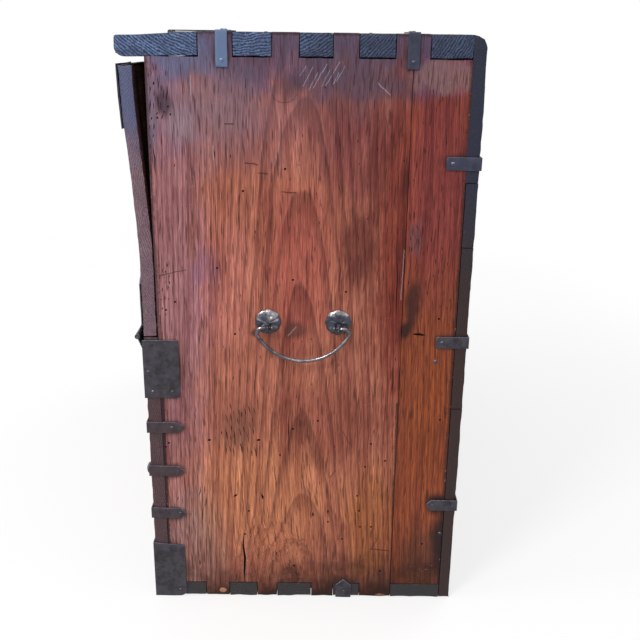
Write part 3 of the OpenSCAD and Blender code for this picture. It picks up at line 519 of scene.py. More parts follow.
backPlankStains = {
    "middle": panelStain(440, 410, 36, 110, (146, 74, 40), 0.85),
    "low": panelStain(420, 560, 34, 50, (104, 60, 42), 0.9),
    "redTop": panelStain(440, 180, 60, 200, (136, 62, 56), 0.95, 0.4),
    **{name: sideStains[name] for name in backStrips},
}
darkMarkAndShade = (44, 26, 28)
sideLines = [panelLine(*row, tint, amount) for tint, amount, rows in (
    ((170, 172, 194), 0.6, (
        (303, 86, 313, 67, 0.6), (309, 90, 318, 72, 0.5), (313, 88, 327, 64, 0.6), (322, 86, 330, 70, 0.5),
        (325, 87, 340, 62, 0.6), (333, 84, 339, 73, 0.5), (336, 82, 345, 66, 0.5), (300, 76, 306, 66, 0.5))),
    # pale scratches, and painted highlights along the lips of cracks and the seam
    ((176, 160, 168), 0.6, (
        (378, 83, 390, 95, 0.9), (190.5, 75, 190.5, 95, 0.7), (414, 75, 424, 100, 1.0),
        (213, 146, 213.5, 160, 0.7), (288, 336, 296, 327, 0.8), (404, 250, 401, 300, 0.7),
        (411, 222, 424, 258, 0.8), (426, 232, 426, 262, 0.7), (409, 328, 402, 372, 0.8),
        (247, 532, 247, 582, 0.5), (197, 520, 195, 582, 0.7))),
    # dark lines: painted shade in the seams and cracks, and dark marks in the grain
    (darkMarkAndShade, 0.75, (
        (158, 276, 186, 270, 0.8), (225, 124, 234, 124, 1.3), (245, 163, 258, 165, 1.2),
        (258, 173, 268, 174, 1.1), (282, 192, 296, 193, 1.2), (336, 470, 330, 478, 0.8),
        (343, 432, 349, 444, 0.8), (162.8, 390, 168.5, 546, 3.4), (371, 549, 389, 551, 1.2),
        (378, 538, 371, 549, 0.9), (397.2, 404, 390, 590, 2.6), (410, 333, 427, 335, 1.8)))) for row in rows]
for turn in np.arange(0.1, 2.9, 0.5):  # a faint arc below the upper knot
    ends = [(284 + 12 * math.cos(t), 94 + 9 * math.sin(t)) for t in (turn, turn + 0.5)]
    sideLines.append(panelLine(*ends[0], *ends[1], 0.8, darkMarkAndShade, 0.5))

plainWood = {
    "order": (0, 1, 2), "heart": (0.36, 0.0, 0.3), "spacing": 0.0044, "taper": 0.035, "wander": 1.6,
    "streak": 0.0010, "light": (246, 159, 129), "dark": (132, 60, 48), "ring": (84, 38, 36),
    "ringDepth": 0.48, "cloud": (140, 70, 58), "cloudDepth": 0.4, "pore": (58, 28, 28), "poreDepth": 0.6,
    "fibreDepth": 0.46, "scuffs": 0.4, "scuffTint": (190, 150, 140), "edgeReach": 0.5, "grime": (48, 36, 38),
    # hole: the tint of the painted shade in cracks and holes
    "grimeDepth": 0.75, "bare": (180, 140, 120), "bareDepth": 0.5, "hole": (14, 9, 10), "roughness": 0.46,
    "bump": 0.75, "gloss": 0.16, "coat": 0.0,
}
redTints = ((166, 92, 76), (120, 62, 56), (158, 104, 102), (134, 70, 54))
leftSpots = [((-0.45, -0.17, z), (0.2, 0.032, reach), (46, 32, 34)) for z, reach in (
    (0.30, 0.05), (0.05, 0.04), (0.22, 0.016), (0.165, 0.016), (0.11, 0.016))]
leftSpots += [((-0.45, 0.0, 0.0), (0.2, 0.4, 0.05), (50, 32, 28)),
              ((-0.45, 0.0, 0.735), (0.2, 0.3, 0.06), (88, 74, 90)),
              ((-0.45, 0.18, 0.12), (0.2, 0.035, 0.06), (44, 34, 30))]
doorSpots = [((x, -0.21, z), reach, tint) for x, z, reach, tint in (
    (0.0, 0.68, (0.07, 0.2, 0.07), (52, 34, 36)), (0.138, 0.61, (0.07, 0.2, 0.035), (60, 40, 42)),
    (-0.138, 0.61, (0.07, 0.2, 0.035), (60, 40, 42)), (0.42, 0.71, (0.07, 0.2, 0.05), (50, 36, 40)),
    (-0.42, 0.71, (0.07, 0.2, 0.05), (50, 36, 40)), (0.0, 0.40, (0.5, 0.2, 0.02), (48, 32, 34)))]
frontSpots = [((x, -0.2, z), reach, tint) for x, z, reach, tint in (
    (0.0, 0.0, (0.7, 0.2, 0.05), (42, 30, 30)), (0.0, 0.33, (0.06, 0.2, 0.07), (56, 36, 38)),
    (0.42, 0.03, (0.08, 0.2, 0.05), (46, 34, 36)), (-0.42, 0.03, (0.08, 0.2, 0.05), (46, 34, 36)))]
bareLook = {**plainWood, "heart": (0.3, 0.1, -1.0), "light": (176, 138, 104), "dark": (140, 100, 72),
            "ring": (112, 76, 54), "cloud": (130, 96, 74), "pore": (90, 62, 46), "grime": (70, 52, 42),
            "roughness": 0.68, "gloss": 0.2, "scuffs": 0.2}
backStripLook = {**plainWood, "stains": backPlankStains, "heart": (0.30, 0.02, 0.2), "spacing": 0.005,
                 "light": (206, 110, 66), "dark": (100, 44, 32), "cloud": (120, 58, 40)}
frontLook = {**plainWood, "order": (1, 2, 0), "heart": (-0.12, 0.20, -1.7), "taper": 0.03,
             "light": (134, 88, 80), "dark": (84, 50, 48), "ring": (62, 36, 36),
             "cloud": (98, 60, 58), "grime": (36, 28, 32),
             "stains": weathering((-0.42, -0.2, 0.05), (0.42, -0.2, 0.36), 9, 12, (0.16, 0.4, 0.04),
                                  ((120, 76, 68), (70, 42, 42), (108, 76, 80), (112, 58, 46)), frontSpots)}
bareAcrossStains = weathering((-0.42, -0.2, 0.05), (0.42, 0.2, 0.72), 11, 12, (0.2, 0.3, 0.06),
                              ((150, 112, 84), (118, 86, 66), (170, 134, 104), (132, 100, 82)),
                              [((0.0, 0.19, 0.02), (0.6, 0.06, 0.05), (70, 50, 42))])
gapShadow = patch((0.45, -0.2, 0.62), (0.035, 0.1, 0.26), (22, 22, 36), 0.95, 0.3, True, 0.3)
woodLooks = {
    "side": {**plainWood, "stains": sideStains, "lines": sideLines, "heart": (0.372, -0.005, -1.6),
             "knots": [patch(photoPoint(272, 575), (0.5, 0.07, 0.10), (0, 0, 0), -1.5, 0.9, soft=1.0,
                             cell=(90, 90, 90))]},
    "backStrip": backStripLook,
    "left": {**plainWood, "heart": (-0.36, 0.03, -1.2), "taper": 0.03,
             "stains": weathering((-0.45, -0.19, 0.03), (-0.45, 0.12, 0.72), 5, 12, (0.4, 0.05, 0.14),
                                  redTints, leftSpots)},
    "leftStrip": {**backStripLook, "heart": (-0.31, 0.0, 0.1),
                  "stains": weathering((-0.45, 0.12, 0.03), (-0.45, 0.19, 0.72), 6, 5, (0.4, 0.03, 0.12),
                                       redTints, leftSpots)},
    "top": {**plainWood, "order": (2, 1, 0), "heart": (0.66, 0.02, -1.4), "taper": 0.03, "spacing": 0.006,
            "light": (104, 92, 98), "dark": (62, 52, 60), "ring": (48, 38, 44), "cloud": (84, 76, 90),
            "pore": (34, 26, 30), "grime": (30, 26, 32), "scuffTint": (150, 145, 160), "roughness": 0.5,
            "stains": weathering((-0.45, -0.21, 0.76), (0.45, 0.2, 0.76), 7, 12, (0.13, 0.05, 0.4),
                                 ((92, 82, 92), (58, 50, 62), (104, 78, 74), (70, 66, 88)),
                                 [((0.0, -0.17, 0.76), (0.1, 0.06, 0.1), (44, 36, 40))])},
    "front": frontLook,
    "door": {**frontLook, "heart": (-0.11, 0.56, -1.9), "taper": 0.027,
             "stains": weathering((-0.42, -0.21, 0.42), (0.42, -0.21, 0.72), 8, 12, (0.16, 0.4, 0.04),
                                  ((128, 80, 70), (74, 44, 44), (112, 78, 82), (118, 60, 48)), doorSpots)},
    "back": {**plainWood, "order": (1, 2, 0), "heart": (0.10, 0.4, -1.0), "taper": 0.03, "spacing": 0.009,
             "light": (112, 78, 66), "dark": (70, 48, 44), "ring": (52, 34, 32), "cloud": (84, 62, 60),
             "grime": (34, 28, 32), "roughness": 0.6,
             "stains": weathering((-0.42, 0.2, 0.05), (0.42, 0.2, 0.72), 10, 12, (0.17, 0.4, 0.05),
                                  ((104, 76, 66), (60, 42, 42), (96, 74, 76), (98, 62, 50)),
                                  [((0.0, 0.2, 0.0), (0.7, 0.3, 0.06), (36, 28, 28))])},
    "bare": bareLook,
    "bareAcross": {**bareLook, "order": (1, 2, 0), "heart": (0.1, 0.3, -1.0),
                   "stains": {**bareAcrossStains, "gapShadow": gapShadow}},
    "bareFlat": {**bareLook, "order": (2, 1, 0)},
    # painted shade: near-black wood for the walls of the side's cracks and holes
    "hollow": {**plainWood, "light": (40, 24, 24), "dark": (18, 11, 12), "ring": (16, 10, 11),
               "cloud": (26, 16, 17), "pore": (12, 8, 9), "grime": (16, 11, 12), "roughness": 0.75},
}
doorEnd = {
    "pitch": 0.0026, "heart": (0, -0.02, 0.56), "dark": (96, 72, 82), "light": (142, 112, 122),
    "cloud": (104, 80, 92), "cloudDepth": 0.5, "pit": (46, 36, 46), "roughness": 0.6, "rim": (150, 130, 140),
    "rimDepth": 0.5,
    "stains": [patch((0.45, -0.21, 0.73), (0.1, 0.1, 0.13), (78, 90, 126), 0.82, 0.9),
               patch((0.45, -0.212, 0.728), (0.03, 0.014, 0.008), (196, 156, 140), 0.9, 1.0)],
}
endLooks = {
    # the top's end grain: dark slate with light blue ribs, partly a painted sky sheen
    "topEnd": {"pitch": 0.0032, "heart": (0, -0.08, 0.90), "dark": (16, 26, 54), "light": (106, 132, 180),
               "cloud": (44, 52, 80), "cloudDepth": 0.5, "pit": (24, 28, 46), "roughness": 0.55,
               "rim": (170, 190, 220), "rimDepth": 0.7,
               "stains": [patch((0.45, 0.10, 0.75), (0.1, 0.16, 0.1), (142, 142, 150), 0.8, 0.6, False),
                          patch((-0.45, 0.0, 0.75), (0.1, 0.3, 0.1), (160, 160, 170), 0.8, 0.6, False)]},
    "doorEnd": doorEnd,
    "frontEnd": {**doorEnd, "heart": (0, -0.02, 0.2), "dark": (58, 38, 43), "light": (100, 71, 76),
                 "cloud": (70, 49, 54), "rim": (120, 100, 110), "stains": []},
    "backEnd": {**doorEnd, "heart": (0, 0.02, 0.4), "dark": (24, 19, 25), "light": (54, 44, 52),
                "cloud": (34, 28, 35), "rim": (110, 104, 122), "rimDepth": 0.4,
                "stains": [patch((0.45, 0.2, 0.74), (0.1, 0.1, 0.3), (30, 36, 60), 0.8, 0.9),
                           patch((0.45, 0.2, 0.2), (0.1, 0.1, 0.4), (50, 28, 24), 0.85, 0.6)]},
    "bottomEnd": {**doorEnd, "heart": (0, 0, -0.2), "dark": (28, 26, 28), "light": (64, 60, 62),
                  "cloud": (42, 38, 40), "rim": (120, 118, 124), "stains": []},
}
woodFinishes = {name: woodMaterial(name + "Wood", look) for name, look in woodLooks.items()}
woodFinishes |= {name: endMaterial(name + "Grain", look) for name, look in endLooks.items()}
endFinish = {"top_board": "topEnd", "door_panel": "doorEnd", "lower_front_board": "frontEnd",
             "bottom_board": "bottomEnd"}
print("wood finishes built")


# Meshes from numbers

def latticeNoise(points, size, seed=0):
    # smooth random values from -1 to 1, with features of about the given size along each axis
    scaledUp = points / np.asarray(size, float) + seed * 17.31
    cell = np.floor(scaledUp).astype(np.int64)
    part = scaledUp - cell
    part = part * part * (3 - 2 * part)
    total = np.zeros(len(points))
    for corner in np.ndindex(2, 2, 2):
        key = cell + np.array(corner)
        mixed = (key[:, 0] * 73856093) ^ (key[:, 1] * 19349663) ^ (key[:, 2] * 83492791) ^ (seed * 2654435761)
        mixed = (mixed ^ (mixed >> 13)) * 1274126177
        value = ((mixed ^ (mixed >> 16)) & 0xFFFF) / 32767.5 - 1
        total += value * np.prod(np.where(np.array(corner) == 1, part, 1 - part), axis=1)
    return total


def smoothStep(values):
    t = np.clip(values, 0, 1)
    return t * t * (3 - 2 * t)


def meshObject(name, places, faces, material=None):
    mesh = bpy.data.meshes.new(name)
    mesh.from_pydata(np.asarray(places).tolist(), [], [list(map(int, f)) for f in faces])
    mesh.update()
    if material:
        mesh.materials.append(material)
    return addObject(name, mesh)


def readVectors(items, name):
    values = np.empty(len(items) * 3)
    items.foreach_get(name, values)
    return values.reshape(-1, 3)


def readSurface(mesh):
    return readVectors(mesh.vertices, "co"), readVectors(mesh.vertex_normals, "vector")


def writePlaces(mesh, places):
    mesh.vertices.foreach_set("co", np.asarray(places, float).ravel())
    mesh.update()


def cornerShare(normals):
    # 1 where a face of the box turns into another, and 0 on its faces
    return np.clip((1 - np.abs(normals).max(axis=1)) / 0.29, 0, 1)


def bake(piece):
    # the evaluated shape becomes the piece's own plain mesh, and its modifiers go
    shown = piece.evaluated_get(bpy.context.evaluated_depsgraph_get())
    made = bpy.data.meshes.new_from_object(shown)
    old = piece.data
    piece.modifiers.clear()
    piece.data = made
    bpy.data.meshes.remove(old)
    made.name = piece.name
    return made


def turnOutwards(mesh):
    shape = bmesh.new()
    shape.from_mesh(mesh)
    bmesh.ops.recalc_face_normals(shape, faces=shape.faces)
    shape.to_mesh(mesh)
    shape.free()


def smoothShading(mesh, angle=32):
    mesh.shade_smooth()
    mesh.set_sharp_from_angle(angle=math.radians(angle))


def writeAttribute(mesh, name, values):
    old = mesh.attributes.get(name)
    if old:
        mesh.attributes.remove(old)
    mesh.attributes.new(name, "FLOAT", "POINT").data.foreach_set("value", np.asarray(values, np.float32))


def mergedCopy(node):
    shape = bmesh.new()
    shape.from_mesh(nodes[node].data)
    bmesh.ops.remove_doubles(shape, verts=shape.verts, dist=0.01 * mm)
    return shape


def dress(piece, body, slot, *replaced):
    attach(piece, body)
    if replaced:
        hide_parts(*replaced)


# Boards: a lattice over each board's own outline, with rounded, worn and uneven surfaces

boardKeys = ("finish", "inner", "slot", "grain", "steps", "uneven", "ridge")
boardRows = {
    "right_side_front_plank": ("side", "bare", "side_wood", 2, (0.0045, 0.0022, 0.008), 0.35, 0.1),
    "right_side_back_plank": ("backStrip", "bare", "side_wood", 2, (0.0045, 0.0022, 0.008), 0.35, 0.12),
    "left_side_front_plank": ("left", "bare", "side_wood", 2, (0.0045, 0.003, 0.010), 0.4, 0.1),
    "left_side_back_plank": ("leftStrip", "bare", "side_wood", 2, (0.0045, 0.003, 0.010), 0.4, 0.12),
    "top_board": ("top", "bareFlat", "top_wood", 0, (0.011, 0.0018, 0.005), 0.5, 0.22),
    "bottom_board": ("back", "bareFlat", "back_wood", 0, (0.016, 0.005, 0.0055), 0.3, 0.15),
    "lower_front_board": ("front", "bareAcross", "front_wood", 0, (0.009, 0.0048, 0.0026), 0.4, 0.12),
    "door_panel": ("door", "bareAcross", "front_wood", 0, (0.009, 0.0045, 0.0026), 0.4, 0.12),
    **{"back_plank_" + str(i): ("back", "bareAcross", "back_wood", 0, (0.012, step, 0.003), 0.5, 0.2)
       for i, step in ((1, 0.004), (2, 0.004), (3, 0.004), (4, 0.003))},
}
boards = {node: dict(zip(boardKeys, row), seed=3 + 8 * i) for i, (node, row) in enumerate(boardRows.items())}
insideLow, insideHigh = np.array((-0.4330, -0.1898, 0.0200)), np.array((0.4330, 0.1960, 0.7337))
nose = {"front": -0.2235, "top": 0.76, "under": 0.732, "upperRadius": 0.005, "lowerRadius": 0.012}
noseWear = {"from": -0.115, "reach": 0.105, "ends": 0.05, "fade": 0.09, "topDrop": 0.0052,
            "underDrop": 0.0022}
backEdge = {"back": 0.2075, "top": 0.76, "radius": 0.0175}
doorWarp = {"foot": 0.474, "height": 0.249, "reach": 0.24, "lift": 0.013, "power": 1.1, "edge": 0.45}
doorBreak = {"head": 0.723, "reach": 0.02, "ends": 0.425, "drop": 0.0035}
edgeWear = {"reach": 0.007, "depth": 1.6 * mm, "bevel": 0.7 * mm, "sharp": 50}
cutShade = {"inset": 0.003, "from": 0.9 * mm, "fade": 1.2 * mm, "through": 1.5 * mm}
endFace = {"from": 0.446, "turned": 0.35}
hollow = {"from": 0.436, "below": 0.4475, "turned": 0.9, "rim": 0.004}


def spaced(values, least):
    ordered = sorted(values)
    return np.array([v for i, v in enumerate(ordered) if i == 0 or v - ordered[i - 1] > least])


def boardBreaks(node, axis):
    # the places along one axis where the board's outline steps, without the top board's rounded front edge
    shape = mergedCopy(node)
    kept = [v.co for v in shape.verts if node != "top_board" or v.co.y > -0.189]
    found = sorted({round(co[axis], 5) for co in kept} | {round(corner[axis], 5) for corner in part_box(node)})
    shape.free()
    return found


def boardLines(breaks, step, near=(0.002, 0.0045)):
    lines = set(breaks)
    for low, high in zip(breaks, breaks[1:]):
        inset = [d for d in near if (high - low) > 4 * d]
        lines |= {low + d for d in inset} | {high - d for d in inset}
        start, end = (low + max(inset), high - max(inset)) if inset else (low, high)
        count = max(1, round((end - start) / step))
        lines |= {start + (end - start) * i / count for i in range(count + 1)}
    return spaced(lines, 1e-5)


def extraLines(node):
    # close lines where a board's edge is rounded
    if node == "top_board":
        small = [nose["upperRadius"] * f for f in (0.2, 0.45, 0.7, 1)]
        large = [nose["lowerRadius"] * f for f in (0.15, 0.35, 0.6, 0.8, 1)]
        heights = [nose["top"] - d for d in small] + [nose["under"] + d for d in large]
        return [], [nose["front"] + d for d in small + large], heights
    if node == "back_plank_4":
        steps = [backEdge["radius"] * f for f in (0.1, 0.25, 0.4, 0.55, 0.7, 0.85, 1)]
        return [], [backEdge["back"] - d for d in steps], [backEdge["top"] - d for d in steps]
    return [], [], []


def filledCells(node, breaks):
    # which cells between the breaks hold wood, by counting the walls that a slanted ray meets
    shape = mergedCopy(node)
    tree = BVHTree.FromBMesh(shape)
    shape.free()
    way = Vector((0.412, 0.277, 0.868)).normalized()
    filled = np.zeros([len(b) - 1 for b in breaks], bool)
    for cell in np.ndindex(filled.shape):
        start = Vector([(breaks[a][i] + breaks[a][i + 1]) / 2 for a, i in enumerate(cell)])
        walls = 0
        hit = tree.ray_cast(start, way)
        while hit[0] is not None:
            walls += 1
            hit = tree.ray_cast(hit[0] + way * 1e-6, way)
        filled[cell] = walls % 2 == 1
    return filled


def latticeShell(lines, filled):
    # the outer faces of the filled cells, turned outwards, on shared corners
    counts = [len(axisLines) for axisLines in lines]
    solid = np.pad(filled, 1).astype(np.int8)
    quads = []
    for axis in range(3):
        first, second = (axis + 1) % 3, (axis + 2) % 3
        step = np.diff(solid, axis=axis)
        for sign, turns in ((-1, ((0, 0), (1, 0), (1, 1), (0, 1))), (1, ((0, 0), (0, 1), (1, 1), (1, 0)))):
            cells = np.argwhere(step == sign)
            cells[:, [first, second]] -= 1
            corners = []
            for a, b in turns:
                corner = cells.copy()
                corner[:, first] += a
                corner[:, second] += b
                corners.append(np.ravel_multi_index(corner.T, counts))
            quads.append(np.stack(corners, axis=1))
    used, quads = np.unique(np.concatenate(quads), return_inverse=True)
    grid = np.unravel_index(used, counts)
    return np.stack([lines[axis][grid[axis]] for axis in range(3)], axis=1), quads.reshape(-1, 4)


def roundEdge(places, planeY, planeZ, radius):
    # turns the square edge where two planes meet into a round one; a plane's sign says where outside is
    a, b = np.abs(places[:, 1] - planeY[0]), np.abs(places[:, 2] - planeZ[0])
    near = (a < radius) & (b < radius)
    t, s = 1 - a[near] / radius, 1 - b[near] / radius
    places[near, 1] = planeY[0] - planeY[1] * radius * (1 - t * np.sqrt(1 - s * s / 2))
    places[near, 2] = planeZ[0] - planeZ[1] * radius * (1 - s * np.sqrt(1 - t * t / 2))


def wornNose(places):
    # the top board is worn down towards its two front corners
    forward = smoothStep((noseWear["from"] - places[:, 1]) / noseWear["reach"])
    out = smoothStep((np.abs(places[:, 0]) - noseWear["ends"]) / noseWear["fade"])
    height = (places[:, 2] - nose["under"]) / (nose["top"] - nose["under"])
    drop = noseWear["underDrop"] + (noseWear["topDrop"] - noseWear["underDrop"]) * height
    places[:, 2] -= forward * out * drop


def brokenHead(places):
    # the door's upper corners are broken off short
    near = smoothStep((places[:, 2] - doorBreak["head"] + doorBreak["reach"]) / doorBreak["reach"])
    out = smoothStep((np.abs(places[:, 0]) - doorBreak["ends"]) / 0.02)
    rough = 0.55 + 0.45 * latticeNoise(places, (0.006, 0.005, 0.05), 71)
    places[:, 2] -= doorBreak["drop"] * near * out * rough


def warpForward(places, warp):
    up = smoothStep((places[:, 2] - warp["foot"]) / warp["height"]) ** warp["power"]
    out = smoothStep((places[:, 0] - warp["edge"] + warp["reach"]) / warp["reach"])
    return warp["lift"] * up * out


def edgeDistance(places, low, high):
    # distance from the nearest edge of a box, from inside it
    gaps = np.sort(np.minimum(np.abs(places - low), np.abs(high - places)), axis=1)
    return np.hypot(gaps[:, 0], gaps[:, 1])


def wearEdges(places, low, high, seed):
    # rounds and dents a box's edges inwards, more in some places than in others
    middle = (low + high) / 2
    order = np.argsort(np.minimum(np.abs(places - low), np.abs(high - places)), axis=1)
    strength = smoothStep(1 - edgeDistance(places, low, high) / edgeWear["reach"])
    rough = 0.45 + 0.35 * latticeNoise(places, 0.03, seed) + 0.3 * latticeNoise(places, 0.009, seed + 1)
    amount = edgeWear["depth"] * strength * np.clip(rough, 0.05, None)
    rows = np.arange(len(places))
    for axis in (order[:, 0], order[:, 1]):
        places[rows, axis] += np.sign(middle[axis] - places[rows, axis]) * amount


def relief(mesh, plan):
    # an uneven, planed surface with raised grain, always inside the board's first surface
    places, normals = readSurface(mesh)
    long = np.full(3, 0.0035)
    long[plan["grain"]] = 0.11
    seed = plan["seed"]
    sink = plan["uneven"] * mm * (0.5 + 0.5 * latticeNoise(places, 0.09, seed))
    sink += plan["ridge"] * mm * (0.5 + 0.5 * latticeNoise(places, long, seed + 1))
    sink += plan["ridge"] * mm * (0.5 + 0.5 * latticeNoise(places, long * 2.7, seed + 2))
    sink += cornerShare(normals) * 0.6 * mm * np.clip(latticeNoise(places, 0.011, seed + 3), 0, 1)
    return places - normals * sink[:, None]


def makeBoard(node, plan, cutters=None):
    low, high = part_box(node)
    if node == "door_panel":
        low.y += doorWarp["lift"]
    low, high = np.array(low), np.array(high)
    breaks = [[low[a], high[a]] for a in range(3)]
    solid = np.ones((1, 1, 1), bool)
    if node != "door_panel" and not node.startswith("back_plank"):
        stepped = 2 if node == "top_board" else 3
        breaks[:stepped] = [boardBreaks(node, a) for a in range(stepped)]
        solid = filledCells(node, breaks)
    lines = []
    for axis, extra in enumerate(extraLines(node)):
        made = set(np.round(boardLines(breaks[axis], plan["steps"][axis]), 7))
        lines.append(spaced(made | {round(v, 7) for v in extra}, 2e-4))
    cell = [np.clip(np.searchsorted(breaks[a], (lines[a][:-1] + lines[a][1:]) / 2) - 1, 0, len(breaks[a]) - 2)
            for a in range(3)]
    places, quads = latticeShell(lines, solid[np.ix_(*cell)])
    if node == "top_board":
        roundEdge(places, (nose["front"], -1), (nose["top"], 1), nose["upperRadius"])
        roundEdge(places, (nose["front"], -1), (nose["under"], -1), nose["lowerRadius"])
        wornNose(places)
    if node == "back_plank_4":
        roundEdge(places, (backEdge["back"], 1), (backEdge["top"], 1), backEdge["radius"])
    if node == "door_panel":
        brokenHead(places)
    piece = meshObject("worn_" + node, places, quads)
    bevel = piece.modifiers.new("edges", "BEVEL")
    bevel.width = edgeWear["bevel"]
    bevel.segments = 2
    bevel.limit_method = "ANGLE"
    bevel.angle_limit = math.radians(edgeWear["sharp"])
    bevel.use_clamp_overlap = False
    mesh = bake(piece)
    writePlaces(mesh, relief(mesh, plan))
    places = readVectors(mesh.vertices, "co")
    alone = node in ("door_panel", "top_board")
    wearEdges(places, low if alone else caseLow, high if alone else caseHigh, plan["seed"] + 5)
    writePlaces(mesh, places)
    if cutters:
        cut = piece.modifiers.new("marks", "BOOLEAN")
        cut.operation = "DIFFERENCE"
        cut.solver = "MANIFOLD"
        cut.object = cutters
        bake(piece)
    finishBoard(piece, node, plan, low, high)


def finishBoard(piece, node, plan, low, high):
    # attributes for the finish and for painted shade inside cracks and holes, the bare inner faces, and the door's
    # warp
    mesh, slot = piece.data, plan["slot"]
    places = readVectors(mesh.vertices, "co")
    isSide = slot == "side_wood"
    sides = (caseLow + (0, 0.019, 0), caseHigh - (0, 0.016, 0)) if isSide else (low, high)
    writeAttribute(mesh, "edge", smoothStep(1 - edgeDistance(places, *sides) / 0.010))
    axis, face = {"side_wood": (0, 0.45), "top_wood": (2, 0.76), "front_wood": (1, -low[1]),
                  "back_wood": (1, 0.2075)}[slot]
    # cut: painted shade, darker the deeper a place lies below the board's face
    gap = face - np.abs(places[:, axis])
    inner = np.sort(np.minimum(places - low, high - places), axis=1)[:, 1]
    deep = np.where(inner > cutShade["inset"], smoothStep((gap - cutShade["from"]) / cutShade["fade"]), 0)
    deep[gap > (high - low)[axis] - cutShade["through"]] = 0
    writeAttribute(mesh, "cut", deep if slot in ("side_wood", "front_wood") else deep * 0)
    mesh.materials.clear()
    for finish in (plan["finish"], plan["inner"], "hollow" if isSide else endFinish.get(node, "backEnd")):
        mesh.materials.append(woodFinishes[finish])
    centres = readVectors(mesh.polygons, "center")
    sideways = np.abs(readVectors(mesh.polygons, "normal")[:, 0])
    kinds = np.all((centres > insideLow) & (centres < insideHigh), axis=1).astype(np.int32)
    x = centres[:, 0]
    if isSide:
        # the walls of the side's cracks and holes take the near-black hollow wood, a painted shade
        rim = np.sort(np.minimum(centres - low, high - centres), axis=1)[:, 1]
        inCut = (sideways < hollow["turned"]) | (x < hollow["below"])
        kinds[(x > hollow["from"]) & inCut & (rim > hollow["rim"])] = 2
    else:
        kinds[(np.abs(x) > endFace["from"]) & (sideways > endFace["turned"])] = 2
    mesh.polygons.foreach_set("material_index", kinds)
    if node == "door_panel":
        places[:, 1] -= warpForward(places, doorWarp)
    places[:, 2] = np.maximum(places[:, 2], 0)
    writePlaces(mesh, places)
    smoothShading(mesh)
    dress(piece, "door" if node == "door_panel" else "case", slot, node)


# Cracks, worm holes and gouges in the right side, at the photograph's places

sideMarks = [
    (244, 532, 245, 584, 3.1, 5), (288.5, 412, 289, 461, 1.1, 3), (398, 224, 396, 330, 1.2, 2.5),
    (214, 148, 215, 160, 1.3, 2), (200, 559, 200, 566, 1.6, 2), (447, 548, 445, 592, 1.4, 3),
    (153, 140, 156, 178, 1.4, 2.5), (393.5, 360, 392, 400, 1.1, 2.0), (313, 512, 313, 517, 2.2, 3),
    (328, 509, 328, 515, 2.0, 3),
    (411, 333.5, 427, 335.5, 3.4, 1.8), (207, 440, 211.5, 440, 3.0, 1.5), (256, 440, 261, 440, 3.0, 1.5),
    (404, 322, 406, 340, 4.0, 2.5), (233, 497, 238, 494, 2.4, 1.6), (262, 493, 263, 500, 2.4, 1.6),
]
zoneKeys = ("middle", "half", "count", "length", "width", "depth", "lean")
roughZones = {
    "topCorner": ((158, 84), (9, 24), 34, (7, 22), (0.7, 1.5), (1.0, 2.2), 0.02),
    "knot": ((164, 105), (7, 13), 26, (2, 6), (1.0, 2.4), (1.2, 2.6), 0.5),
    "frontEdge": ((151, 120), (3, 50), 18, (3, 9), (0.9, 2.0), (1.0, 1.8), 0.1),
    "adzed": ((241, 430), (15, 24), 60, (7, 16), (0.6, 1.2), (0.8, 1.4), -0.2),
    "leftPits": ((164, 290), (6, 26), 18, (2, 6), (0.9, 1.8), (1.0, 2.0), 0.15),
    "leftLow": ((203, 502), (3, 15), 7, (9, 16), (0.8, 1.4), (1.2, 2.0), 0.15),
    "repair": ((414, 235), (10, 20), 16, (6, 18), (0.6, 1.2), (0.8, 1.6), 0.05),
    "scattered": ((290, 320), (120, 240), 40, (2, 6), (0.7, 1.1), (0.8, 1.3), 0.1),
    "fineLines": ((300, 300), (130, 250), 60, (12, 34), (0.35, 0.6), (0.8, 1.0), 0.0),
    "backPores": ((430, 200), (22, 110), 30, (3, 10), (0.6, 1.0), (0.8, 1.3), 0.03),
}
wormHoles = [
    (318, 421), (371, 444), (385, 461), (365, 467), (357, 496), (359, 511), (360, 527), (371, 527),
    (342, 539), (380, 571), (440, 420), (422, 544), (328, 513), (328, 522), (293, 429), (280, 455),
    (249, 511), (245, 534), (166, 447), (169, 443), (294, 566), (166, 310), (175, 302), (235, 334),
    (293, 280), (217, 268), (346, 292), (439, 319), (243, 191), (285, 169)]
proud = 1.2 * mm  # how far a cutter stands out of the face
out = Vector((1, 0, 0))
cutArea = {"front": -0.188, "back": 0.191, "low": 0.004, "high": 0.728, "seam": 0.001}
wormHole = {"radius": 1.25 * mm, "depth": 5 * mm}


def wedge(start, end, width, depth):
    # a long sliver, widest in its middle, that cuts a crack into the face that "out" points away from
    width *= (depth + proud) / (depth - 0.35 * mm)
    side = (end - start).normalized().cross(out)
    sway = min(width, 0.05 * (end - start).length)
    places, faces = [], []
    rings = ((0.0, 0.12, 0.0), (0.25, 0.75, 0.35), (0.5, 1.0, -0.2), (0.75, 0.8, 0.15), (1.0, 0.12, 0.0))
    for share, swell, bend in rings:
        middle = start.lerp(end, share) + side * sway * bend
        half = side * width * swell / 2
        places += [middle + half + out * proud, middle - half + out * proud, middle - out * depth * swell]
    last = 3 * (len(rings) - 1)
    for ring in range(0, last, 3):
        for a, b in ((0, 1), (1, 2), (2, 0)):
            faces.append((ring + a, ring + b, ring + 3 + b, ring + 3 + a))
    return places, faces + [(2, 1, 0), (last, last + 1, last + 2)]


def pit(centre, radius, depth, sides=7):
    # a short round drill, a little wider at the face
    side = out.orthogonal().normalized()
    other = out.cross(side)
    places = []
    for reach, size in ((proud, 1.25), (-depth, 0.8)):
        for turn in range(sides):
            angle = math.tau * turn / sides
            spoke = side * math.cos(angle) + other * math.sin(angle)
            places.append(centre + out * reach + spoke * radius * size)
    faces = [(i, (i + 1) % sides, sides + (i + 1) % sides, sides + i) for i in range(sides)]
    return places, faces + [tuple(range(sides)), tuple(range(2 * sides - 1, sides - 1, -1))]


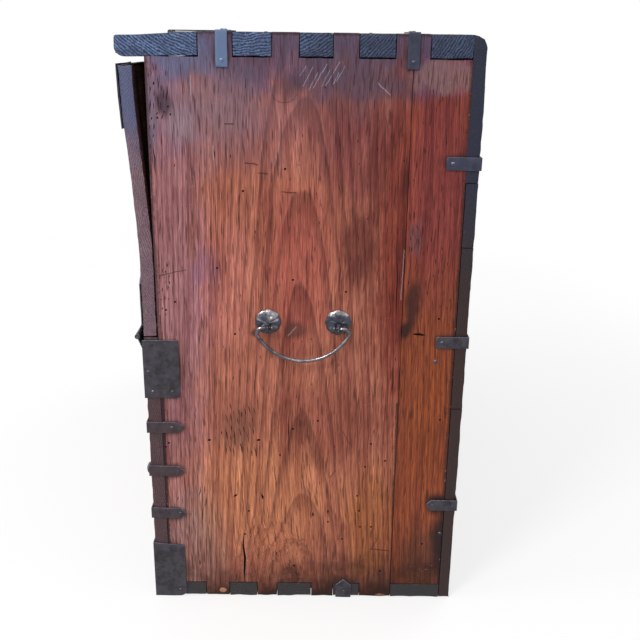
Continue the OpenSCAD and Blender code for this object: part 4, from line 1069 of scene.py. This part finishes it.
def scatterMarks(zone, taken, chance):
    # short cuts at random places of a zone, clear of each other
    marks = []
    for attempt in range(zone["count"] * 12):
        spread = chance.uniform(-1, 1, 2)
        length = chance.uniform(*zone["length"])
        lean = zone["lean"] + chance.uniform(-0.12, 0.12)
        width, depth = chance.uniform(*zone["width"]), chance.uniform(*zone["depth"])
        x, y = (zone["middle"][a] + zone["half"][a] * spread[a] for a in (0, 1))
        reach = abs(lean) * length / 2 + width * 0.62 + 0.2
        box = (x - reach, y - length / 2 - 0.5, x + reach, y + length / 2 + 0.5)
        if all(box[2] < o[0] or o[2] < box[0] or box[3] < o[1] or o[3] < box[1] for o in taken):
            taken.append(box)
            bend = lean * length / 2
            marks.append((x + bend, y - length / 2, x - bend, y + length / 2, width, depth))
        if len(marks) == zone["count"]:
            break
    return marks


def allSideMarks():
    taken = [(min(x0, x1) - width, min(y0, y1) - 1, max(x0, x1) + width, max(y0, y1) + 1)
             for x0, y0, x1, y1, width, depth in sideMarks]
    taken += [(x - 2, y - 2, x + 2, y + 2) for x, y in wormHoles]
    chance = np.random.default_rng(12)
    marks = list(sideMarks)
    for zone in roughZones.values():
        marks += scatterMarks(dict(zip(zoneKeys, zone)), taken, chance)
    return marks


def sideCutters(name, marks, lowY, highY):
    parts = []
    for x0, y0, x1, y1, width, depth in marks:
        start, end = photoPoint(x0, y0), photoPoint(x1, y1)
        inside = min(start.y, end.y) - width * mm > lowY and max(start.y, end.y) + width * mm < highY
        if inside and min(start.z, end.z) > cutArea["low"] and max(start.z, end.z) < cutArea["high"]:
            parts.append(wedge(start, end, width * mm, depth * mm))
    spots = [photoPoint(*hole) for hole in wormHoles]
    parts += [pit(spot, wormHole["radius"], wormHole["depth"]) for spot in spots if lowY < spot.y < highY]
    places, faces = [], []
    for partPlaces, partFaces in parts:
        faces += [tuple(i + len(places) for i in face) for face in partFaces]
        places += [tuple(p) for p in partPlaces]
    cutters = meshObject(name, places, faces)
    turnOutwards(cutters.data)
    return cutters


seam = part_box("right_side_front_plank")[1].y
marks = allSideMarks()
boardCutters = {
    "right_side_front_plank": sideCutters("frontPlankMarks", marks, cutArea["front"], seam - cutArea["seam"]),
    "right_side_back_plank": sideCutters("backPlankMarks", marks, seam + cutArea["seam"], cutArea["back"]),
}
for node, plan in boards.items():
    makeBoard(node, plan, boardCutters.get(node))
for cutters in boardCutters.values():
    bpy.data.objects.remove(cutters)
print("boards made:", len(boards))


# Iron finishes

def ironMaterial(name, look):
    material, shader, place, look = newMaterial(name, look)
    iron = useGroup(hammeredIron, Vector=place, Dent=look["dent"])
    colour = blend(iron["Mottle"], look["dark"], look["light"])
    colour = blend(iron["Rust"] * look["rustDepth"], colour, look["rust"])
    frays = {}
    for stain in look["stains"]:
        colour = layStain(place, stain, frays, colour)
    # rubbed wear and a painted highlight, where the "edge" attribute rises
    rub = attribute(place.tree, "edge") * (iron["Rub"] * 0.65 + 0.35)
    colour = blend(rub * look["rubAndHighlightDepth"], colour, look["rub"])
    # painted shade where the "rim" attribute rises
    rim = attribute(place.tree, "rim")
    dull = iron["Mottle"] * -0.16 + look["roughness"]
    setInputs(shader, {
        "Base Color": blend(rim * rim * 0.85, colour, look["rim"]),
        "Roughness": calc("MULTIPLY_ADD", iron["Rust"], 0.2, dull, clamp=True),
        "Metallic": calc("MULTIPLY_ADD", iron["Rust"], -0.5, look["metal"], clamp=True),
        "Normal": bump(iron["Height"], look["bump"], 0.0006), "Specular IOR Level": 0.5,
        "Coat Weight": look["coat"], "Coat Roughness": 0.16})
    return material


sheetIron = {
    # the rim tint is painted shade on the edges that face down
    "dark": (36, 32, 38), "light": (66, 62, 72), "rust": (56, 40, 40), "rustDepth": 0.4, "rim": (11, 9, 12),
    # the rubbed tint is wear with a painted highlight on edges that face up
    "rub": (196, 202, 222), "rubAndHighlightDepth": 0.95, "roughness": 0.5, "metal": 0.4, "dent": 0.011, "bump": 0.35,
    "coat": 0.0,
    "stains": [patch(photoPoint(221, 52), (0.05, 0.014, 0.05), (108, 130, 168), 0.8, 0.4, True, 0.3),
               patch((0.45, 0.1, 0.68), (0.06, 0.3, 0.2), (50, 58, 88), 0.5, 0.6, True, 0.7, broad),
               patch((0.45, -0.18, 0.21), (0.06, 0.08, 0.12), (70, 48, 50), 0.5, 0.6, True, 0.7, broad)],
}
barIron = {**sheetIron, "dark": (30, 28, 34), "light": (92, 90, 102), "rub": (236, 226, 228),
           "rustDepth": 0.15, "roughness": 0.28, "metal": 0.8, "dent": 0.005, "bump": 0.3, "coat": 0.6,
           "stains": []}
plateIron = {**barIron, "light": (74, 72, 82), "rub": (150, 148, 156), "rubAndHighlightDepth": 0.7, "roughness": 0.42,
             "metal": 0.6, "coat": 0.0}
petalIron = {**barIron, "coat": 0.15, "dark": (16, 15, 20), "light": (66, 70, 88), "rust": (16, 14, 18),
             "rustDepth": 0.8, "roughness": 0.3, "metal": 0.45, "bump": 0.8, "dent": 0.004}
ironFinishes = {"dark_iron": ironMaterial("sheetIron", sheetIron),
                "worn_iron": ironMaterial("wornIron", barIron),
                "petals": ironMaterial("petalIron", petalIron), "plate": ironMaterial("plateIron", plateIron)}


# Sheet iron: each fitting keeps its outline, with hand-cut edges and a beaten, slightly uneven face

straps = [side + strap + end for strap in ("_strap_", "_back_strap_") for side in ("right", "left")
          for end in ("low", "mid", "high")]
forged = {
    "body": {"door": ["right_hinge_upper_leaf", "left_hinge_upper_leaf", "middle_hinge_upper_leaf",
                      "door_corner_right", "door_corner_left", "lock_plate"],
             "hasp_arm": ["hasp"],
             "case": ["right_corner_plate", "left_corner_plate", *straps, "right_top_straps",
                      "left_top_straps", "bottom_straps", "hasp_mount", "right_hinge_lower_leaf",
                      "left_hinge_lower_leaf", "middle_hinge_lower_leaf"]},
    "bevel": 0.4 * mm, "step": 0.004, "wobble": 0.35 * mm, "dent": 0.18 * mm,
    "firstSeed": 100, "seedStep": 10,
    "onWood": {"side": 0.4499, "front": -0.2068, "back": 0.2074, "top": 0.7599},
    "onIron": {"side": 0.4511, "front": -0.2083, "back": 0.2086, "top": 0.7611},
    "trim": {"corner_plate": {"slope": 4.5 * mm, "round": 9.0 * mm},
             "hinge_lower_leaf": {"slope": 0.0, "round": 7.0 * mm}},
}


def beyond(places, planes):
    # for each axis, which places lie outside of the case's planes
    return np.stack([np.abs(places[:, 0]) > planes["side"],
                     (places[:, 1] < planes["front"]) | (places[:, 1] > planes["back"]),
                     places[:, 2] > planes["top"]], axis=1)


def sliceUp(shape, step):
    # cuts across the faces at even steps along each axis, so that they can be beaten
    places = np.array([v.co for v in shape.verts])
    lows, highs = places.min(axis=0), places.max(axis=0)
    for axis in range(3):
        count = int((highs[axis] - lows[axis]) / step)
        way = Vector([1.0 if a == axis else 0.0 for a in range(3)])
        for i in range(1, count):
            spot = way * (lows[axis] + (highs[axis] - lows[axis]) * i / count)
            parts = shape.verts[:] + shape.edges[:] + shape.faces[:]
            bmesh.ops.bisect_plane(shape, geom=parts, dist=1e-6, plane_co=spot, plane_no=way)


def beat(mesh, seed):
    # hand-cut outline and beaten face; the back stays on the wood
    places, normals = readSurface(mesh)
    shift = np.stack([latticeNoise(places, 0.014, seed + k) for k in range(3)], axis=1) * forged["wobble"]
    shift[beyond(places, forged["onWood"])] = 0
    places = places + shift
    sink = forged["dent"] * np.clip(0.5 + 0.5 * latticeNoise(places, 0.008, seed + 7), 0, 1)
    outer = beyond(places, forged["onIron"]).any(axis=1)
    writePlaces(mesh, places - normals * np.where(outer, sink, 0)[:, None])


def trimCorners(mesh, node):
    # hand-cut plates: lower corners rounded, upper edges a little out of level
    trim = forged["trim"].get(node.replace("left_", "").replace("right_", ""))
    if not trim:
        return
    places = readVectors(mesh.vertices, "co")
    low, high = (np.array(corner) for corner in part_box(node))
    share = np.clip((places[:, 1] - low[1]) / (high[1] - low[1]), 0, 1)
    up = smoothStep((places[:, 2] - low[2]) / (high[2] - low[2]) * 2 - 1)
    places[:, 2] -= trim["slope"] * share * up
    radius = trim["round"]
    a = np.clip(1 - (high[1] - places[:, 1]) / radius, 0, 1)
    b = np.clip(1 - (places[:, 2] - low[2]) / radius, 0, 1)
    places[:, 1] -= radius * a * (1 - np.sqrt(1 - b * b / 2))
    places[:, 2] += radius * b * (1 - np.sqrt(1 - a * a / 2))
    writePlaces(mesh, places)


def forgeSheet(node, body, slot, seed):
    shape = mergedCopy(node)
    bmesh.ops.dissolve_limit(shape, angle_limit=math.radians(2), verts=shape.verts, edges=shape.edges)
    sharp = [e for e in shape.edges if len(e.link_faces) == 2 and e.calc_face_angle(0) > math.radians(50)]
    bmesh.ops.bevel(shape, geom=sharp, offset=forged["bevel"], offset_type="OFFSET", segments=2, profile=0.5,
                    affect="EDGES", clamp_overlap=True)
    bmesh.ops.triangulate(shape, faces=[f for f in shape.faces if len(f.verts) > 4])
    sliceUp(shape, forged["step"])
    mesh = bpy.data.meshes.new("forged_" + node)
    shape.to_mesh(mesh)
    shape.free()
    normals = readVectors(mesh.vertex_normals, "vector")
    trimCorners(mesh, node)
    beat(mesh, seed)
    # edge: rubbed wear with a painted highlight along the bevels that face up
    writeAttribute(mesh, "edge", cornerShare(normals) * np.clip(0.3 + normals[:, 2], 0, 1))
    # rim: painted shade along the bevels that face down and sideways
    writeAttribute(mesh, "rim", cornerShare(normals) * np.clip(0.7 - normals[:, 2], 0, 1))
    mesh.materials.append(ironFinishes["plate" if slot == "worn_iron" else slot])
    smoothShading(mesh, 40)
    dress(addObject("forged_" + node, mesh), body, slot, node)


slotOf = {row["node"]: row["material_slot"] for row in frame["record"]["subparts"]}
sheets = [(node, body) for body, names in forged["body"].items() for node in names]
for index, (node, body) in enumerate(sheets):
    forgeSheet(node, body, slotOf[node], forged["firstSeed"] + forged["seedStep"] * index)
print("sheet iron made:", len(sheets))


# Handles and pulls: forged bars along the same line as the ones they stand for

bail = {"halfAngle": 59.7, "radius": 66.5, "shoulder": 7.0, "eyeSpacing": 89.0, "rod": 4.9, "thin": 3.9,
        "knob": 8.0, "inside": 4.0, "play": 2.3, "sides": 14}


def bailLine(sizes):
    # half of a bail from its lowest point to its knob: place across, place up and radius, in millimetres
    half, radius, shoulder = math.radians(sizes["halfAngle"]), sizes["radius"], sizes["shoulder"]
    shoulderX = (radius - shoulder) * math.sin(half)
    low = -(radius * (1 - math.cos(half)) + shoulder * (1 + math.cos(half)))
    rod, thin = sizes["rod"] / 2, sizes["thin"] / 2
    line = []
    for i in range(19):
        angle = half * i / 18
        line.append((radius * math.sin(angle), low + radius * (1 - math.cos(angle)),
                     rod * (1.0 - 0.06 * math.sin(angle * 3))))
    start = half - math.pi / 2
    for i in range(1, 10):
        angle = start + (math.pi / 2 - start) * i / 9
        line.append((shoulderX + shoulder * math.cos(angle), shoulder * (math.sin(angle) - 1),
                     rod * (1.12 - 0.14 * i / 9)))
    eye, inside = sizes["eyeSpacing"] / 2, sizes["inside"]
    line += [(eye + sizes["play"] + 1.0, 0, rod * 0.95), (eye + sizes["play"], 0, thin),
             (eye - inside + 0.8, 0, thin * 0.95)]
    for along, size in ((0.0, 0.62), (0.8, 0.92), (1.7, 1.0), (2.6, 0.86), (3.0, 0.55)):
        line.append((eye - inside - along, 0, sizes["knob"] / 2 * size))
    return line


def sweep(line, sides, seed):
    # a closed round bar along a flat line, with flats where the hammer fell
    middle = np.array([(x, y, 0) for x, y, r in line])
    along = np.gradient(middle, axis=0)
    along /= np.linalg.norm(along, axis=1)[:, None]
    up = np.array((0, 0, 1.0))
    rings = []
    for place, way, (x, y, radius) in zip(middle, along, line):
        side = np.cross(up, way)
        for k in range(sides):
            angle = math.tau * k / sides
            rings.append(place + radius * (math.cos(angle) * side + math.sin(angle) * up))
    rings = np.array(rings)
    flat = latticeNoise(rings * mm, (0.007, 0.007, 0.004), seed)
    spokes = rings - np.repeat(middle, sides, axis=0)
    rings = rings - spokes * (0.055 * (0.5 + 0.5 * flat))[:, None]
    last = (len(line) - 1) * sides
    faces = []
    for i in range(0, last, sides):
        for k in range(sides):
            j = (k + 1) % sides
            faces.append((i + k, i + j, i + sides + j, i + sides + k))
    return rings, faces + [tuple(range(sides - 1, -1, -1)), tuple(range(last, last + sides))]


def denser(line, times):
    xs = np.arange(len(line))
    fine = np.linspace(0, len(line) - 1, (len(line) - 1) * times + 1)
    return [tuple(np.interp(spot, xs, np.array(line)[:, c]) for c in range(3)) for spot in fine]


def wornSide(mesh, seed):
    # handled iron is rubbed bright where it faces up and outwards, with a painted highlight there as well
    places, normals = readSurface(mesh)
    outward = np.maximum(np.abs(normals[:, 0]) * (np.abs(places[:, 0]) > 0.44),
                         -normals[:, 1] * (places[:, 1] < -0.2))
    worn = normals[:, 2] * 0.85 + outward * 0.45 + 0.35 * latticeNoise(places, 0.007, seed)
    return smoothStep((worn - 0.5) / 0.5)


def makeBail(node, body, acrossAxis, seed):
    half = bailLine(bail)
    whole = [(-x, y, r) for x, y, r in reversed(half[1:])] + half
    places, faces = sweep(denser(whole, 2), bail["sides"], seed)
    across, up = Vector(acrossAxis), Vector((0, 0, 1))
    turn = Matrix((across, up, across.cross(up))).transposed()
    placed = (np.array(turn) @ places.T).T * mm + np.array(pivots[body])
    piece = meshObject("forged_" + node, placed, faces, ironFinishes["worn_iron"])
    turnOutwards(piece.data)
    # rubbed wear with a painted highlight on the bail's upper and outer faces
    writeAttribute(piece.data, "edge", wornSide(piece.data, seed + 1))
    smoothShading(piece.data, 50)
    dress(piece, body, "worn_iron", node)


pivots = {joint["child"]: Vector(joint["pos_m"]) for joint in frame["joints"]}
makeBail("right_bail", "right_handle", (0, 1, 0), 61)
makeBail("left_bail", "left_handle", (0, -1, 0), 62)
makeBail("right_pull", "right_pull_handle", (1, 0, 0), 63)
makeBail("left_pull", "left_pull_handle", (1, 0, 0), 64)
print("handles made")


# Nails and rosettes, placed by geometry nodes on points that carry their direction and size

def pointCloud(name, rows):
    # rows of place, direction, radius and height
    places, facing, radii, heights = zip(*rows)
    mesh = bpy.data.meshes.new(name)
    mesh.from_pydata([tuple(place) for place in places], [], [])
    ways = mesh.attributes.new("facing", "FLOAT_VECTOR", "POINT")
    ways.data.foreach_set("vector", np.array(facing).ravel())
    writeAttribute(mesh, "radius", radii)
    writeAttribute(mesh, "height", heights)
    return addObject(name, mesh)


def placedHeads(tree, given, head, noiseSize):
    # the head on every point, turned and scaled as the point says, dented and finished
    facing, radius, height = (
        wire("GeometryNodeInputNamedAttribute", {"Name": name}, "Attribute", tree, data_type=kind)
        for name, kind in (("facing", "FLOAT_VECTOR"), ("radius", "FLOAT"), ("height", "FLOAT")))
    turn = wire("FunctionNodeAlignRotationToVector", {"Vector": facing}, axis="Z")
    size = combine(radius, radius, height)
    made = wire("GeometryNodeInstanceOnPoints", {
        "Points": given["Geometry"], "Instance": head, "Rotation": turn, "Scale": size})
    made = wire("GeometryNodeRealizeInstances", {0: made})
    place = wire("GeometryNodeInputPosition", {}, 0, tree)
    sizes = {"Vector": place, "W": given["Seed"], "Scale": noiseSize, "Detail": 1.0}
    shaken = wire("ShaderNodeTexNoise", sizes, "Color", noise_dimensions="4D")
    offset = scaled(shaken - (0.5, 0.5, 0.5), given["Dents"])
    made = wire("GeometryNodeSetPosition", {"Geometry": made, "Offset": offset})
    return wire("GeometryNodeSetMaterial", {"Geometry": made, "Material": given["Material"]})


def buildNailTree():
    tree, given = newGroup("handForgedNails", {
        "Geometry": "Geometry", "Sides": 11, "Dents": 0.0004, "Seed": 4.0, "Material": "Material"},
        "GeometryNodeTree")
    sizes = {"Vertices": given["Sides"], "Side Segments": 1, "Fill Segments": 3, "Radius": 1.0, "Depth": 1.0}
    head = wire("GeometryNodeMeshCylinder", sizes, "Mesh", fill_type="TRIANGLE_FAN")
    x, y, z = separate(wire("GeometryNodeInputPosition", {}, 0, tree))
    domed = 1.0 - calc("POWER", calc("LENGTH", combine(x, y, 0.0)), 2.6) * 0.62
    lifted = combine(x, y, domed * calc("GREATER_THAN", z, 0.0))
    head = wire("GeometryNodeSetPosition", {"Geometry": head, "Position": lifted})
    return closeGroup(tree, {"Geometry": placedHeads(tree, given, head, 260.0)})


def petalSheet(tree, given, isTop):
    # the domed upper face of a rosette, or the flat one under it
    grid = {"Size X": 1.0, "Size Y": 1.0, "Vertices X": 97, "Vertices Y": 14 if isTop else 2}
    sheet = wire("GeometryNodeMeshGrid", grid, "Mesh", tree)
    x, y, z = separate(wire("GeometryNodeInputPosition", {}, 0, tree))
    angle, share = x * math.tau, y + 0.5
    wave = calc("COSINE", angle * given["Petals"])
    lobe = (wave - 1.0) * (given["Lobe depth"] * 0.5)
    reach = share * (lobe * calc("POWER", share, 3.0) + 1.0)
    rise = 0.0
    if isTop:
        dome = calc("POWER", 1.0 - calc("POWER", share, 2.0), 0.7)
        groove = calc("POWER", wave * -0.5 + 0.5, 3.0)
        sunk = groove * (given["Crease"] * ramp(share, 0.15, 0.6))
        rise = dome * (0.86 - sunk) + 0.14
    lifted = combine(reach * calc("COSINE", angle), reach * calc("SINE", angle), rise)
    return wire("GeometryNodeSetPosition", {"Geometry": sheet, "Position": lifted})


def buildRosetteTree():
    tree, given = newGroup("petalledRosette", {
        "Geometry": "Geometry", "Petals": 8, "Lobe depth": 0.12, "Crease": 0.3, "Dents": 0.0006, "Seed": 2.0,
        "Material": "Material"}, "GeometryNodeTree")
    upper, under = petalSheet(tree, given, True), petalSheet(tree, given, False)
    both = addNode(tree, "GeometryNodeJoinGeometry", {0: upper})
    setInputs(both, {0: wire("GeometryNodeFlipFaces", {"Mesh": under})})
    closed = wire("GeometryNodeMergeByDistance", {"Geometry": Wire(both.outputs[0]), "Distance": 0.0005})
    return closeGroup(tree, {"Geometry": placedHeads(tree, given, closed, 190.0)})


def grow(piece, tree, settings):
    # runs a geometry tree on the piece's points and keeps the result as a plain mesh
    modifier = piece.modifiers.new("grown", "NODES")
    modifier.node_group = tree
    for item in tree.interface.items_tree:
        if item.in_out == "INPUT" and item.name in settings:
            modifier[item.identifier] = settings[item.name]
    mesh = bake(piece)
    turnOutwards(mesh)
    smoothShading(mesh, 45)
    # rubbed wear with a painted highlight where the heads face up
    writeAttribute(mesh, "edge", wornSide(mesh, 8))
    print("  grown", piece.name, "faces", len(mesh.polygons))


def islands(node):
    # the loose pieces of a node, as lowest and highest corners
    shape = mergedCopy(node)
    shape.verts.ensure_lookup_table()
    seen, found = set(), []
    for start in shape.verts:
        if start.index in seen:
            continue
        seen.add(start.index)
        stack, group = [start], []
        while stack:
            vertex = stack.pop()
            group.append(vertex.co.copy())
            for edge in vertex.link_edges:
                other = edge.other_vert(vertex)
                if other.index not in seen:
                    seen.add(other.index)
                    stack.append(other)
        spots = np.array(group)
        found.append((spots.min(axis=0), spots.max(axis=0)))
    shape.free()
    return found


def headRows(node):
    rows = []
    for low, high in islands(node):
        size = high - low
        axis = int(np.argmin(size))
        base = (low + high) / 2
        facing = np.zeros(3)
        facing[axis] = 1.0 if base[axis] > 0 else -1.0
        base[axis] = low[axis] if facing[axis] > 0 else high[axis]
        rows.append((base, facing, max(np.delete(size, axis)) / 2, size[axis]))
    return rows


nailLook = {"Sides": 11, "Dents": 0.0004, "Seed": 4.0, "Material": ironFinishes["dark_iron"]}
rosetteLook = {"Petals": 8, "Lobe depth": 0.035, "Crease": 0.2, "Dents": 0.0016, "Seed": 2.0,
               "Material": ironFinishes["petals"]}
nailTree, rosetteTree = buildNailTree(), buildRosetteTree()
for prefix, node, body, tree, look in (
        ("forged_", "case_nails", "case", nailTree, nailLook),
        ("forged_", "door_nails", "door", nailTree, nailLook),
        ("petalled_", "right_rosettes", "case", rosetteTree, rosetteLook),
        ("petalled_", "left_rosettes", "case", rosetteTree, rosetteLook),
        ("petalled_", "pull_rosettes", "door", rosetteTree, rosetteLook)):
    heads = pointCloud(prefix + node, headRows(node))
    grow(heads, tree, look)
    dress(heads, body, "dark_iron", node)
print("nails and rosettes made")

for node in ("right_eyes", "left_eyes", "pull_eyes", "hasp_pin", "lock_staple", "right_hinge_pin",
             "left_hinge_pin", "middle_hinge_pin"):
    kept = nodes[node].data
    kept.materials.clear()
    kept.materials.append(ironFinishes["worn_iron"])


# Studio: pale floor, white surroundings and soft lamps

studio = {
    "floorTint": (0.82, 0.82, 0.82), "seenTint": (0.3, 0.3, 0.3), "floorGlow": 0.72, "skyLight": 0.62,
    "floorSize": 60, "floorDrop": 0.0002, "fadeFrom": 1.1, "fadeTo": 2.6,
    "lamps": {
        "key": {"at": (2.3, -1.5, 2.6), "aim": (0.3, 0.0, 0.45), "size": 0.8, "power": 44,
                "tint": (1.0, 0.98, 0.96)},
        "front": {"at": (0.6, -3.0, 2.2), "aim": (0.0, -0.2, 0.4), "size": 1.8, "power": 28,
                  "tint": (1, 1, 1)},
        "rear": {"at": (-2.2, 2.4, 2.6), "aim": (0, 0.1, 0.4), "size": 2.0, "power": 30,
                 "tint": (0.97, 0.98, 1.0)},
    },
}


def seenDirectly(tree):
    # true for rays from the camera, in mirrors and through glass
    path = {socket.name: Wire(socket) for socket in tree.nodes.new("ShaderNodeLightPath").outputs}
    total = path["Is Camera Ray"] + path["Is Glossy Ray"]
    return calc("ADD", total, path["Is Transmission Ray"], clamp=True)


def makeFloor(settings):
    far, drop = settings["floorSize"] / 2, -settings["floorDrop"]
    places = [(-far, -far, drop), (far, -far, drop), (far, far, drop), (-far, far, drop)]
    floor = meshObject("studioFloor", places, [(0, 1, 2, 3)])
    material = bpy.data.materials.new("paleFloor")
    material.use_nodes = True
    tree = material.node_tree
    tree.nodes.clear()
    seen = seenDirectly(tree)
    matt = wire("ShaderNodeBsdfDiffuse", {"Color": blend(seen, settings["floorTint"], settings["seenTint"])})
    glow = wire("ShaderNodeEmission", {"Color": white, "Strength": seen * settings["floorGlow"]})
    both = wire("ShaderNodeAddShader", {0: matt, 1: glow})
    place = wire("ShaderNodeTexCoord", {}, "Object", tree)
    away = ramp(calc("LENGTH", place), settings["fadeFrom"], settings["fadeTo"])
    plain = wire("ShaderNodeEmission", {"Color": white, "Strength": 1.0}, 0, tree)
    fading = wire("ShaderNodeMixShader", {0: away * seen, 1: both, 2: plain})
    addNode(tree, "ShaderNodeOutputMaterial", {"Surface": fading})
    floor.data.materials.append(material)


def makeWorld(settings):
    world = bpy.data.worlds.new("studioWorld")
    bpy.context.scene.world = world
    world.use_nodes = True
    tree = world.node_tree
    tree.nodes.clear()
    strength = seenDirectly(tree) * (1.0 - settings["skyLight"]) + settings["skyLight"]
    sky = wire("ShaderNodeBackground", {"Color": white, "Strength": strength})
    addNode(tree, "ShaderNodeOutputWorld", {"Surface": sky})


def makeLamps(settings):
    for name, lamp in settings["lamps"].items():
        data = bpy.data.lights.new(name + "Lamp", "AREA")
        data.size = lamp["size"]
        data.energy = lamp["power"]
        data.color = lamp["tint"]
        light = addObject(name + "Lamp", data)
        light.location = lamp["at"]
        light.rotation_euler = (Vector(lamp["aim"]) - Vector(lamp["at"])).to_track_quat("-Z", "Y").to_euler()


makeFloor(studio)
makeWorld(studio)
makeLamps(studio)
